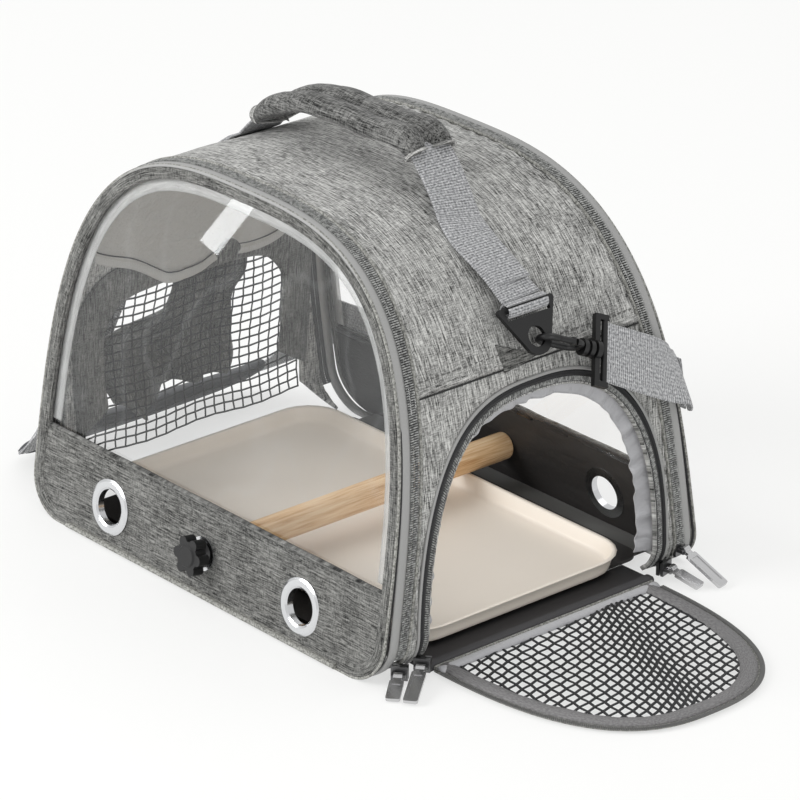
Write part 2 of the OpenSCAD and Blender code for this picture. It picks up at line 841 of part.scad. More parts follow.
left_line = [
    back_point(-half_w + 8), back_point(-half_w - 1),
    [[-half_w - 8, 125, 57.5], [0.15, -0.1, 0.98]],
    [[-half_w - 20, 117, 51], up],
    [[-half_w - 42, 100, 39.5], up],
    [[-half_w - 56, 72, 29.5], up],
    [[-half_w - 60, 30, 25.6], up],
    [[-half_w - 61, -10, 25.6], up],
    [[-half_w - 59.5, -50, 25.6], up],
    [[-half_w - 57, -80, 25.6], up],
    [[-half_w - 54.5, -97, 25.6], up],
    [[-half_w - 49, -107, 25.6], up],
    [[-half_w - 41, -110, 26.5], up],
    [[-half_w - 35, -108, 30], [-0.05, -0.2, 0.97]],
    [[-half_w - 39, -102, 40], [-0.1, -0.4, 0.9]],
    [[-half_w - 38.5, -90, 60], [0, -0.6, 0.8]],
    [[-half_w - 28, -75, 88], [0.1, -0.75, 0.65]],
    [[-half_w - 21, -50, 120], [0.2, -0.82, 0.54]],
    [[-bar_left[0] - 5, bar_left[1] - 6, bar_left[2] - 9], [0.25, -0.866, 0.43]],
    [[-bar_left[0], bar_left[1], bar_left[2]], [0.2545, -0.866, 0.43]]];
module strap_color() {
    color("#9c9da6") children();
}
module bar_round(drop, r, length) {
    hook_axis(drop) translate([0, hook_len + bar_reach, 0])
        cylinder(h = length, r = r, center = true, $fn = hull_fn);
}
module strap_right_run() {
    strap_color() difference() {
        union() {
            band(right_line, strap_profile);
            bar_round(hook_drop, 4, strap_w + 0.6);
        }
        translate([0, 100, 0]) cube([half_w + 2.2, far, far]);
        bar_round(hook_drop, 2.02, strap_w + 20);
    }
}
module strap_back_run() {
    strap_color() intersection() {
        band(back_line, strap_profile);
        translate([-half_w - 1.7, 0, 0]) cube([2 * half_w + 3.4, far, far]);
    }
}
module strap_left_run() {
    strap_color() difference() {
        union() {
            band(left_line, strap_profile);
            mirror([1, 0, 0]) bar_round(left_hook_drop, 4, strap_w + 0.6);
        }
        translate([-half_w - 2.2, 100, 0]) cube([far, far, far]);
        mirror([1, 0, 0]) bar_round(left_hook_drop, 2.02, strap_w + 20);
    }
}
// buckle that sets the strap's length, lying on the run behind the back panel
module strap_adjuster() {
    x = 118;
    color("#1f2022") translate(back_point(x)[0]) rotate([lean_deg, 0, 0]) rotate([0, -back_strap_rise(x), 0])
        rotate([-90, 0, 0]) translate([0, 0, web_t / 2 + 0.4])
        linear_extrude(2.6) difference() {
            rounded_plan(30, strap_w + 9, 4);
            for (side = [-1, 1]) translate([side * 8, 0]) square([7, strap_w], center = true);
        }
}
// padded sleeve round the strap where it lies on the floor
module shoulder_pad() {
    first = 5;
    last = 12;
    pad_w = 50;
    pad_t = 9;
    profile = [for (i = [0 : 19]) let (t = 360 * i / 20)
        [pad_w / 2 * signed_pow(cos(t), 0.6), pad_t / 2 * signed_pow(sin(t), 0.6)]];
    color("#4a4b4e") difference() {
        band([for (i = [first : last]) left_line[i]], profile);
        band(left_line, strap_profile);
    }
}

// cords sewn into the folds on which the end panels and the side door turn
cord_r = 1.4;
cord_out = 1.8;
cord_z = 2.4;
module panel_cord() {
    color("#b9babd") {
        translate([0, -half_d - cord_out, cord_z]) rotate([0, 90, 0])
            cylinder(h = hinge_w - 6, r = cord_r, center = true, $fn = hull_fn);
        translate([-hinge_w / 2 + 3, -half_d - cord_out - 0.7, base_t + gap])
            cube([hinge_w - 6, cord_out + 0.69 + face_lean * (base_t + gap), 1.2]);
    }
}
module front_hinge_cord() {
    panel_cord();
}
module back_hinge_cord() {
    mirror([0, 1, 0]) panel_cord();
}
module door_hinge_cord() {
    color("#b9babd") translate([door_x, 0, door_z]) rotate([90, 0, 0])
        cylinder(h = 2 * flap_half - 6, r = cord_r, center = true, $fn = hull_fn);
}

// zip sliders, each with a bridge bar at the origin of its frame and the pull pointing along X
front_slider = [half_w + 1, -half_d + 13.5, 7];
door_front_slider = [half_w + 4.4, -(door_half + 10), 9];
door_back_slider = [half_w + 4.4, door_half + 10, 9];
back_slider = [half_w + 3, half_d - 16, 18];
module at_slider(p, turn, dip) {
    translate(p) rotate([0, 0, turn]) rotate([0, dip, 0]) children();
}
bridge_r = 1.1;
module slider() {
    translate([-8.6, -5.2, -4.5]) cube([2.2, 10.4, 9]);
    translate([-5.4, -5.2, -4.5]) cube([2, 10.4, 9]);
    translate([-7, -1.2, -2]) cube([2.4, 2.4, 6.5]);
    for (side = [-1, 1])
        translate([-3.6, side > 0 ? 3.3 : -4.4, -1.1]) cube([3.8, 1.1, 2.2]);
    rotate([90, 0, 0]) cylinder(h = 8.8, r = bridge_r, center = true, $fn = hull_fn);
}
module zip_sliders() {
    color("#8d8f93") {
        at_slider(front_slider, -50, 0) slider();
        at_slider(door_front_slider, -52, 0) slider();
        at_slider(door_back_slider, 15, 0) slider();
        at_slider(back_slider, 11, 0) slider();
    }
}
module zip_pull(length) {
    eye_r = 2.6;
    color("#c4c5c8") difference() {
        union() {
            rotate([90, 0, 0]) cylinder(h = 5.6, r = eye_r, center = true, $fn = hull_fn);
            translate([0, -2.4, -pull_t / 2]) cube([6, 4.8, pull_t]);
            translate([4.5, 0, -pull_t / 2]) linear_extrude(pull_t) {
                translate([0, -pull_w / 2 + 1.5]) square([length - 4.5, pull_w - 3]);
                translate([1.5, -pull_w / 2]) square([length - 7.5, pull_w]);
                for (x = [1.5, length - 6], side = [-1, 1])
                    translate([x, side * (pull_w / 2 - 1.5)]) circle(1.5, $fn = 24);
            }
        }
        rotate([90, 0, 0]) cylinder(h = 10, r = bridge_r + 0.08, center = true, $fn = hull_fn);
        translate([8, -pull_w / 2 + 1.8, pull_t / 2 - 0.5]) cube([length - 12, pull_w - 3.6, 1]);
    }
}
module pull_front() {
    at_slider(front_slider, -50, 13) zip_pull(0.65 * pull_l);
}
module pull_door_front() {
    at_slider(door_front_slider, -52, 10.5) zip_pull(pull_l);
}
module pull_door_back() {
    at_slider(door_back_slider, 15, 17) zip_pull(0.65 * pull_l);
}
module pull_back() {
    at_slider(back_slider, 11, 28) zip_pull(pull_l);
}

base_panel();
base_board();
top_gusset();
right_side_panel();
left_side_panel();
ceiling_lining();
left_mesh();
shade_flap();
front_zip_body_half();
back_zip_body_half();
front_rim();
front_edge_strip();
front_zip_panel_half();
front_window();
front_band();
front_eyelets();
front_washer();
front_knob();
back_rim();
back_edge_strip();
back_zip_panel_half();
back_window();
back_band();
back_eyelets();
back_washer();
back_knob();
perch();
perch_inserts();
tray();
door_sill();
door_opening_zip();
door_binding();
door_frame();
door_mesh();
door_zip_half();
handle_webbing();
handle_grip();
loop_patches();
loop_right();
loop_left();
hook_right();
hook_left();
gate_right();
gate_left();
strap_bar_right();
strap_bar_left();
strap_right_run();
strap_back_run();
strap_left_run();
strap_adjuster();
shoulder_pad();
front_hinge_cord();
back_hinge_cord();
door_hinge_cord();
zip_sliders();
pull_front();
pull_door_front();
pull_door_back();
pull_back();
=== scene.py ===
import math

import bmesh
import bpy
import numpy as np
from mathutils import Matrix, Vector


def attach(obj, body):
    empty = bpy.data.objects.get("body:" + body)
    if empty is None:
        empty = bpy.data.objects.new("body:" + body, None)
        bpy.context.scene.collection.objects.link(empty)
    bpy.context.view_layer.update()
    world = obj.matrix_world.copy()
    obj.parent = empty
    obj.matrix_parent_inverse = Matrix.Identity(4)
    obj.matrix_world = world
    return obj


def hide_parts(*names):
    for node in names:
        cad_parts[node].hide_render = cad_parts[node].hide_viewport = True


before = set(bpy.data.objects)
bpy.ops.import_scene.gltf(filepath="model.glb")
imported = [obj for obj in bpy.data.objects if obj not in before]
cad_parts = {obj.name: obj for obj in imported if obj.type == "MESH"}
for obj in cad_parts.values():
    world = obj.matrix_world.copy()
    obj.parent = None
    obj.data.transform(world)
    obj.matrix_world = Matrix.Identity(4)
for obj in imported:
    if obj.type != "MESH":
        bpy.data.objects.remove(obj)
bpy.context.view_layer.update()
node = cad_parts

# Camera, floor and lamps: a long lens from the front right corner, a pale floor that keeps
# a soft shadow, and three large soft lamps under a white sky.
view = bpy.data.objects.new("view", bpy.data.cameras.new("view"))
bpy.context.collection.objects.link(view)
bpy.context.scene.camera = view
view.data.sensor_width = 36
view.data.lens = 220.6
view.data.clip_end = 20
turn, rise = math.radians(49.39), math.radians(23.86)
back = Vector((math.sin(turn) * math.cos(rise), -math.cos(turn) * math.cos(rise), math.sin(rise)))
view.location = Vector((0.0392, 0, 0.1088)) + 3.077 * back
level = back.to_track_quat("Z", "Y").to_matrix()
view.rotation_euler = (level @ Matrix.Rotation(math.radians(-0.2), 3, "Z")).to_euler()
bpy.context.scene.view_settings.view_transform = "Standard"


class Link:
    """A shader socket that sums can be written on; each sum adds its Math node."""

    def __init__(self, look, socket):
        self.look = look
        self.socket = socket

    def __add__(self, other):
        return self.look.sum("ADD", self, other)

    def __sub__(self, other):
        return self.look.sum("SUBTRACT", self, other)

    def __rsub__(self, other):
        return self.look.sum("SUBTRACT", other, self)

    def __mul__(self, other):
        return self.look.sum("MULTIPLY", self, other)

    def __pow__(self, other):
        return self.look.sum("POWER", self, other)


def tone(red, green, blue):
    """A colour as the eye reads it, from 0 to 255, turned into the shader's linear numbers."""
    seen = np.array([red, green, blue]) / 255
    linear = np.where(seen < 0.04045, seen / 12.92, ((seen + 0.055) / 1.055) ** 2.4)
    return (*linear.tolist(), 1)


class Look:
    """A finish: one material with its shader, and the sums and patterns that feed it."""

    def __init__(self, name, colour=(0.5, 0.5, 0.5, 1), **fixed):
        self.material = bpy.data.materials.new(name)
        self.material.use_nodes = True
        self.tree = self.material.node_tree
        self.shader = next(n for n in self.tree.nodes if n.type == "BSDF_PRINCIPLED")
        self.shader.inputs["Base Color"].default_value = colour
        for key, value in fixed.items():
            self.shader.inputs[key.replace("_", " ")].default_value = value

    def add(self, kind, values=None, out=0, stops=None, **settings):
        """A shader node with its settings, its ramp's stops and the values or links of its sockets."""
        made = self.tree.nodes.new(kind)
        for key, value in settings.items():
            setattr(made, key, value)
        for at, colour in stops or []:
            made.color_ramp.elements.new(at).color = colour
        if stops:
            made.color_ramp.elements.remove(made.color_ramp.elements[0])
            made.color_ramp.elements.remove(made.color_ramp.elements[-1])
        for key, value in (values or {}).items():
            if isinstance(value, Link):
                self.tree.links.new(value.socket, made.inputs[key])
            else:
                made.inputs[key].default_value = value
        return Link(self, made.outputs[out])

    def sum(self, operation, first, second=0.0):
        """One Math node on two numbers or links."""
        return self.add("ShaderNodeMath", {0: first, 1: second}, operation=operation)

    def feed(self, name, link):
        """Leads a link to one of the shader's own sockets."""
        self.tree.links.new(link.socket, self.shader.inputs[name])

    def cloth(self):
        """Where a point lies on the flat cloth, in metres."""
        return self.add("ShaderNodeUVMap", uv_map="cloth")

    def place(self):
        """Where a point lies on the object, in metres."""
        return self.add("ShaderNodeTexCoord", out="Object")

    def noise(self, where, scale, detail=2.0, rough=0.5):
        """Cloudy noise; scale is how many clouds fit in a metre each way."""
        stretched = self.add("ShaderNodeMapping", {"Vector": where, "Scale": scale})
        return self.add("ShaderNodeTexNoise", {"Vector": stretched, "Scale": 1.0, "Detail": detail,
                                               "Roughness": rough})

    def ribs(self, where, axis, pitch):
        """Fine ribs, a sine across one axis with the given pitch in metres, from 0 to 1."""
        across = self.add("ShaderNodeSeparateXYZ", {0: where}, out=axis)
        return self.sum("SINE", across * (2 * math.pi / pitch)) * 0.5 + 0.5

    def ramp(self, factor, *stops):
        """A colour from a number, by stops that are each a place and a colour."""
        return self.add("ShaderNodeValToRGB", {0: factor}, stops=stops)

    def bump(self, height, distance, strength=1.0):
        """Small relief: the height, from 0 to 1, times a distance in metres, pushed by the strength."""
        self.feed("Normal", self.add("ShaderNodeBump", {"Height": height, "Distance": distance,
                                                        "Strength": strength}))

    def grain(self, size, distance, strength=1.0, detail=2.0):
        """An even fine relief all over, with so many bumps in a metre."""
        self.bump(self.noise(self.place(), (size, size, size), detail), distance, strength)
        return self


def dress(piece, look):
    """Gives a piece or a solid its finish."""
    if piece.material_slots:
        for held in piece.material_slots:
            held.material = look.material
    else:
        piece.data.materials.append(look.material)
    return piece


def floor_look():
    """Pale paper that partly glows, so that the camera sees it nearly white under a soft shadow."""
    look = Look("pale_floor", (0.86, 0.86, 0.85, 1), Roughness=0.6)
    glow = look.add("ShaderNodeEmission", {"Color": (0.985, 0.987, 0.98, 1), "Strength": 1.0})
    seen = look.add("ShaderNodeLightPath", out="Is Camera Ray")
    shine = look.add("ShaderNodeLightPath", out="Is Glossy Ray")
    through = look.add("ShaderNodeLightPath", out="Is Transmission Ray")
    share = look.sum("MINIMUM", seen + shine + through, 1.0) * 0.62
    both = look.add("ShaderNodeMixShader", {0: share, 1: Link(look, look.shader.outputs[0]), 2: glow})
    ending = next(n for n in look.tree.nodes if n.type == "OUTPUT_MATERIAL")
    look.tree.links.new(both.socket, ending.inputs["Surface"])
    return look


floor_mesh = bpy.data.meshes.new("floor")
floor_mesh.from_pydata([(-6, -6, 0), (6, -6, 0), (6, 6, 0), (-6, 6, 0)], [], [(0, 1, 2, 3)])
floor = bpy.data.objects.new("floor", floor_mesh)
bpy.context.collection.objects.link(floor)
dress(floor, floor_look())

sky = bpy.data.worlds.new("sky")
bpy.context.scene.world = sky
sky.use_nodes = True
sky.node_tree.nodes["Background"].inputs["Color"].default_value = (1, 1, 0.995, 1)
sky.node_tree.nodes["Background"].inputs["Strength"].default_value = 0.8


def soft_lamp(name, place, aim, size, watts):
    """A large square lamp that faces a point."""
    lamp = bpy.data.objects.new(name, bpy.data.lights.new(name, "AREA"))
    bpy.context.collection.objects.link(lamp)
    lamp.data.shape = "RECTANGLE"
    lamp.data.size, lamp.data.size_y = size
    lamp.data.energy = watts
    lamp.location = place
    lamp.rotation_euler = (Vector(place) - Vector(aim)).to_track_quat("Z", "Y").to_euler()
    return lamp


soft_lamp("lamp_left", (-1.2, -2.2, 1.4), (0, 0, 0.1), (1.6, 1.2), 54)
soft_lamp("lamp_right", (2.3, -0.9, 0.6), (0, 0, 0.12), (1.2, 0.8), 11)
soft_lamp("lamp_above", (0.3, 0.9, 2.2), (0, 0, 0.1), (1.8, 1.2), 7)
glare = soft_lamp("lamp_glare", (-0.377, -0.424, 0.147), (0, -0.094, 0.236), (0.017, 0.046), 0.022)
glare.visible_camera = False
glare.rotation_euler.rotate_axis("Z", math.radians(-27))

# The shell: heather cloth over foam. Its outline is an arch seen from the front, carried
# straight back and cut by the leaning planes of the two zippers.
half_x, half_y, body_z = 0.175, 0.133, 0.264
corner_x, corner_z, arch_power = 0.030, 0.028, 3.05
shell_thick = 0.0028
face_lean = 0.156
zip_foot, zip_lean = 0.0145, face_lean - 0.006 / body_z
centre = np.array([0, 0, 0.11])


def half_width(z):
    """Half the body's width at a height: a quarter ellipse at the floor, then a superellipse."""
    z = np.asarray(z, float)
    high = np.clip((z - corner_z) / (body_z - corner_z), 0, 1)
    low = np.clip((corner_z - z) / corner_z, 0, 1)
    return np.where(z >= corner_z, half_x * (1 - high ** arch_power) ** (1 / arch_power),
                    half_x - corner_x + corner_x * np.sqrt(1 - low ** 2))


def evenly(line, count):
    """Points at equal steps along a line of points, and the line's length."""
    run = np.concatenate([[0], np.cumsum(np.linalg.norm(np.diff(line, axis=0), axis=1))])
    at = np.linspace(0, run[-1], count)
    return np.stack([np.interp(at, run, line[:, k]) for k in range(line.shape[1])], 1), run[-1]


def arch_outline(count, low=None):
    """The arch in X and Z, its outward ways and its length, closed along the floor, or open from a
    low height: a quarter ellipse at each foot, then a superellipse over the top."""
    side = np.radians(np.linspace(0, 90, 40))
    crown = np.radians(np.linspace(0.5, 90, 300))
    right = np.concatenate([
        np.stack([half_x - corner_x + corner_x * np.sin(side), corner_z - corner_z * np.cos(side)], 1),
        np.stack([half_x * np.cos(crown) ** (2 / arch_power),
                  corner_z + (body_z - corner_z) * np.sin(crown) ** (2 / arch_power)], 1)])
    right[-1, 0] = 0
    left = right[-2::-1] * [-1, 1]
    line = np.concatenate([right, left])
    if low is None:
        line = np.concatenate([[[0, 0]], line, [[0, 0]]])
    else:
        line = line[line[:, 1] >= low]
    line, length = evenly(line, count)
    way = np.gradient(line, axis=0)
    if low is None:
        way[0] = way[-1] = (1, 0)
    way /= np.linalg.norm(way, axis=1)[:, None]
    return line, np.stack([way[:, 1], -way[:, 0]], 1), length


def add_piece(name, points, faces, smooth=True):
    """A piece of the object from its points and faces."""
    mesh = bpy.data.meshes.new(name)
    mesh.from_pydata(points.reshape(-1, 3).tolist(), [], faces)
    mesh.polygons.foreach_set("use_smooth", np.full(len(mesh.polygons), smooth))
    piece = bpy.data.objects.new(name, mesh)
    bpy.context.collection.objects.link(piece)
    return piece


def fit(piece, look, body, stands_for=None):
    """Gives a piece its finish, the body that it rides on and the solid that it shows."""
    dress(piece, look)
    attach(piece, body)
    if stands_for:
        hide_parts(stands_for)
    return piece


def make_mesh(name, points, cloth=None, round_rows=False, round_cols=False, cap=False, drop=None):
    """A surface over a grid of points, closed round its rows or columns where asked, with its
    ends capped and some cells dropped; cloth gives each point's place on the flat cloth."""
    rows, cols = points.shape[:2]
    i, j = np.meshgrid(np.arange(rows - (not round_rows)), np.arange(cols - (not round_cols)), indexing="ij")
    corner = [(i, j), (i, j + 1), (i + 1, j + 1), (i + 1, j)]
    faces = np.stack([(a % rows) * cols + b % cols for a, b in corner], -1).reshape(-1, 4)
    keep = np.ones(len(faces), bool) if drop is None else ~drop(points.reshape(-1, 3)[faces].mean(1))
    ends = [list(range(cols)), [(rows - 1) * cols + k for k in range(cols - 1, -1, -1)]] if cap else []
    piece = add_piece(name, points, faces[keep].tolist() + ends)
    if cloth is not None:
        wide = cloth.shape[1]
        flat = cloth.reshape(-1, 2)[np.stack([a * wide + b for a, b in corner], -1).reshape(-1, 4)[keep]]
        flat = flat.reshape(-1, 2)
        rest = np.repeat(flat[:1], 2 * cols if cap else 0, axis=0)
        layer = piece.data.uv_layers.new(name="cloth")
        layer.data.foreach_set("uv", np.concatenate([flat, rest]).ravel())
    return piece


def turn_out(piece, closed=True):
    """Turns the faces outwards: by volume on a closed piece, away from the cabin on an open one."""
    shape = bmesh.new()
    shape.from_mesh(piece.data)
    if closed:
        bmesh.ops.remove_doubles(shape, verts=shape.verts, dist=0.000001)
        bmesh.ops.recalc_face_normals(shape, faces=shape.faces)
    else:
        lean = sum(f.normal.dot(f.calc_center_median() - Vector(centre)) for f in shape.faces)
        if lean < 0:
            bmesh.ops.reverse_faces(shape, faces=shape.faces)
    shape.to_mesh(piece.data)
    shape.free()
    return piece


def thicken(piece, thickness, offset=-1.0):
    """Gives an open sheet its thickness, inwards unless the offset says otherwise."""
    wall = piece.modifiers.new("wall", "SOLIDIFY")
    wall.thickness = thickness
    wall.offset = offset
    return piece


def cloth_grid(points):
    """Each point's place on the flat cloth, from the lengths along the grid's rows and columns."""
    down = np.linalg.norm(np.diff(points, axis=0), axis=2)
    across = np.linalg.norm(np.diff(points, axis=1), axis=2)
    u = np.concatenate([np.zeros((1, points.shape[1])), np.cumsum(down, 0)]).mean(1)
    v = np.concatenate([np.zeros((points.shape[0], 1)), np.cumsum(across, 1)], 1)
    v = v - v[:, -1:] / 2
    return np.stack([np.broadcast_to(u[:, None], v.shape), v], 2)


def ripple(a, b, seed, size=1.0):
    """Soft uneven waves over two lengths in metres, the sum of a few sines, about -1 to 1."""
    rng = np.random.default_rng(seed)
    total = np.zeros(np.broadcast(a, b).shape)
    for k in range(7):
        angle = rng.uniform(0, math.pi)
        wave = rng.uniform(0.6, 1.6) / size
        along = a * math.cos(angle) + b * math.sin(angle)
        total += np.sin(2 * math.pi * wave * along + rng.uniform(0, 6.3))
    return total / 3.5


def heather_look(name, dark, light, along=0, solid=False):
    """Heather cloth: fine light and dark threads, most of them along one way, with a few long slubs
    and faint clouds; solid cloth is patterned by place instead of by its flat coordinates."""
    look = Look(name, light, Roughness=0.9)
    look.shader.inputs["Specular IOR Level"].default_value = 0.15
    look.shader.inputs["Sheen Weight"].default_value = 0.12
    where = look.place() if solid else look.cloth()

    def threads(long, short, detail, rough):
        """Noise drawn out along the cloth's main way."""
        scale = [short, short, short if solid else 1]
        scale[along] = long
        return look.noise(where, scale, detail, rough)

    warp = threads(150.0, 1400.0, 3.0, 0.7)
    slub = threads(38.0, 800.0, 2.0, 0.6)
    weft = threads(1250.0, 150.0, 2.0, 0.6) if solid else look.noise(
        where, (190.0, 1400.0, 1) if along else (1400.0, 190.0, 1), 3.0, 0.65)
    cloud = look.noise(where, (34.0, 34.0, 34.0), 3.0, 0.6)
    thread = warp * 0.42 + slub * 0.24 + weft * 0.24 + cloud * 0.10
    middle = tuple(a + (b - a) * 0.45 for a, b in zip(dark, light))
    look.feed("Base Color", look.ramp(thread, (0.415, dark), (0.5, middle), (0.585, light)))
    look.bump(warp * 0.5 + weft * 0.4 + slub * 0.3, 0.0006, 0.75)
    return look


side_heather = heather_look("side_heather", tone(40, 40, 39), tone(210, 210, 207))
face_heather = heather_look("face_heather", tone(18, 18, 18), tone(138, 138, 135))


def zip_line(z, inner=0.009):
    """Half the shell's depth at a height, up to the zippers' piping."""
    return half_y - zip_foot - inner + 0.0035 - zip_lean * z


def shell_points(x_sign, y, z, swell=0.0):
    """Points of the side walls from their depth and height."""
    return np.stack([x_sign * (half_width(z) + swell), y, z], -1)


def top_sheet():
    """The cloth over the top: the arch above the side seams, carried from zipper to zipper."""
    line, way, length = arch_outline(260, low=0.176)
    t = np.linspace(-1, 1, 90)
    y = t[None, :] * zip_line(line[:, 1])[:, None]
    s = np.linspace(0, length, 260)[:, None]
    edge = np.exp(-(1 - np.abs(t))[None, :] * 9)
    swell = 0.0006 * ripple(s, y, 5, 0.09) + 0.0005 * edge * np.sin(2 * math.pi * s / 0.013 + 3 * t[None, :])
    end = np.minimum(s, length - s)
    swell += 0.0009 * np.exp(-end / 0.008)
    return np.stack([line[:, :1] + way[:, :1] * swell, y, line[:, 1:] + way[:, 1:] * swell], 2)


points = top_sheet()
top = turn_out(make_mesh("top_cloth", points, cloth_grid(points)), closed=False)
fit(thicken(top, shell_thick), side_heather, "carrier", "top_gusset")

# The two side walls are the same padded heather cloth, cut round the doorway on the right and
# round the net window on the left, and sewn to the top along a level seam.
door_half, door_top, door_sill, door_power = 0.0945, 0.157, 0.005, 2.65


def door_outline(count, grow=0.0, low=None):
    """The side opening's edge in Y and Z, grown outwards by a distance, open at its foot."""
    t = np.radians(np.linspace(0, 180, 400))
    half, foot = door_half + grow, door_sill - (grow if low is None else door_sill - low)
    line = np.stack([-half * np.sign(np.cos(t)) * np.abs(np.cos(t)) ** (2 / door_power),
                     foot + (door_top + grow - foot) * np.abs(np.sin(t)) ** (2 / door_power)], 1)
    return evenly(line, count)[0]


def side_sheet(x_sign, foot, seed):
    """A side wall: a grid from the opening's edge out to the zippers, the seam above and the floor."""
    inner = door_outline(200, 0.0, foot)
    low = np.linspace(0.003, 0.180, 60)
    edge = np.concatenate([
        np.stack([-zip_line(low), low], 1),
        np.stack([np.linspace(-1, 1, 60)[1:-1] * zip_line(0.18), np.full(58, 0.18)], 1),
        np.stack([zip_line(low[::-1]), low[::-1]], 1)])
    outer = evenly(edge, 200)[0]
    k = np.linspace(0, 1, 26)[:, None, None]
    flat = inner[None] + (outer - inner)[None] * k
    y, z = flat[..., 0], flat[..., 1]
    swell = 0.0007 * ripple(y, z, seed, 0.07) * np.sin(math.pi * k[..., 0])
    swell += 0.0008 * np.exp(-k[..., 0] * 12)
    swell += 0.0006 * np.exp(-(1 - k[..., 0]) * 10) * np.sin(y * 420 + z * 510)
    return shell_points(x_sign, y, z, swell), np.stack([z, y], -1)


for side, foot, seed in (("right", 0.005, 11), ("left", 0.024, 12)):
    points, flat = side_sheet(1 if side == "right" else -1, foot, seed)
    wall = turn_out(make_mesh(side + "_wall_cloth", points, flat), closed=False)
    fit(thicken(wall, shell_thick), side_heather, "carrier", side + "_side_panel")

# The seam that joins the top to the sides is a folded ridge of the same cloth. A thin near-black strip under
# it paints the shade where the fold meets the wall, and a row of short stitches runs above it.
seam_z = 0.1785


def run_of(path):
    """The length along a line of points, at each point."""
    return np.concatenate([[0], np.cumsum(np.linalg.norm(np.diff(path, axis=0), axis=1))])


def unit(ways):
    """Each row turned into a way of length 1."""
    return ways / np.linalg.norm(ways, axis=1)[:, None]


def spread(ways, count):
    """Rows worked out again at an even count of places along their line."""
    new, old = np.linspace(0, 1, count), np.linspace(0, 1, len(ways))
    return np.stack([np.interp(new, old, ways[:, k]) for k in range(3)], 1)


def wrapped(run, profile):
    """A swept piece's place on the flat cloth: the length along it and the girth round its profile."""
    girth = run_of(np.vstack([profile, profile[:1]]))
    return np.stack(np.broadcast_arrays(run[:, None], girth[None, :]), 2)


def swept(name, path, side, normal, profile, look, body, stands_for=None, loop=False):
    """A closed profile carried along a path; each profile point is a step sideways and a step out."""
    profile = np.asarray(profile)
    side, normal = (np.broadcast_to(way, path.shape) for way in (side, normal))
    points = path[:, None] + side[:, None] * profile[None, :, :1] + normal[:, None] * profile[None, :, 1:]
    run = run_of(np.vstack([path, path[:1]]) if loop else path)
    piece = make_mesh(name, points, wrapped(run, profile), round_rows=loop, round_cols=True, cap=not loop)
    return fit(turn_out(piece), look, body, stands_for)


def bulge(share, power):
    """A sine or cosine raised to 2 / power with its sign kept, so that a circle bulges to its corners."""
    return np.sign(share) * np.abs(share) ** (2 / power)


def round_profile(wide, thick, count=12, power=2.0, at=(0.0, 0.0)):
    """A rounded bar's outline: a superellipse of the given width and thickness."""
    t = np.linspace(0, 2 * math.pi, count, endpoint=False)
    return np.stack([at[0] + wide / 2 * bulge(np.cos(t), power),
                     at[1] + thick / 2 * bulge(np.sin(t), power)], 1)


def stitches(name, path, out, body, pitch=0.0042, length=0.0026, thick=0.0005):
    """A row of short thread stitches along a path, each a small six-sided bar, as one mesh."""
    line = evenly(path, max(3, int(run_of(path)[-1] / pitch)))[0]
    along = unit(np.gradient(line, axis=0))
    up = spread(np.broadcast_to(out, path.shape), len(line))
    across = np.cross(along, up)
    shape = np.array([(e, math.cos(a), math.sin(a)) for e in (-1, -0.6, 0.6, 1)
                      for a in np.radians(range(0, 360, 60))])
    fat = np.where(np.abs(shape[:, 0]) == 1, 0.45, 1.0)[:, None]
    verts = (line[:, None] + shape[None, :, :1] * along[:, None] * length / 2
             + shape[None, :, 1:2] * fat * across[:, None] * thick
             + shape[None, :, 2:] * fat * up[:, None] * thick)
    ring = np.array([(r * 6 + k, r * 6 + (k + 1) % 6, r * 6 + 6 + (k + 1) % 6, r * 6 + 6 + k)
                     for r in range(3) for k in range(6)])
    faces = (ring[None] + (np.arange(len(line)) * 24)[:, None, None]).reshape(-1, 4).tolist()
    caps = [[b + k for k in range(5, -1, -1)] for b in range(0, 24 * len(line), 24)]
    caps += [[b + 18 + k for k in range(6)] for b in range(0, 24 * len(line), 24)]
    return fit(turn_out(add_piece(name, verts, faces + caps)), dark_thread, body)


# Painted shade: a near-black finish for the crease under the seam fold, also used along the lining's hem.
seam_shade_look = Look("seam_shadow", tone(44, 44, 44), Roughness=0.9).grain(900, 0.0003, 0.4)
dark_thread = Look("dark_thread", tone(98, 98, 96), Roughness=0.7).grain(3000, 0.0002, 0.4)

for x_sign, side in ((1, "right"), (-1, "left")):
    y = np.linspace(-zip_line(0.178), zip_line(0.178), 60)
    z = np.full(60, seam_z)
    up, out = (x_sign * -0.43, 0, 0.9), (x_sign * 0.9, 0, 0.43)
    swept(side + "_seam_fold", shell_points(x_sign, y, z, 0.0002), up, out,
          round_profile(0.0052, 0.0026, 10), side_heather, "carrier")
    swept(side + "_seam_shade_line", shell_points(x_sign, y, z - 0.0032, 0.0007), up, out,
          round_profile(0.0011, 0.0008, 6), seam_shade_look, "carrier")
    stitches(side + "_seam_stitch", shell_points(x_sign, y, z + 0.006, 0.0009), out, "carrier")
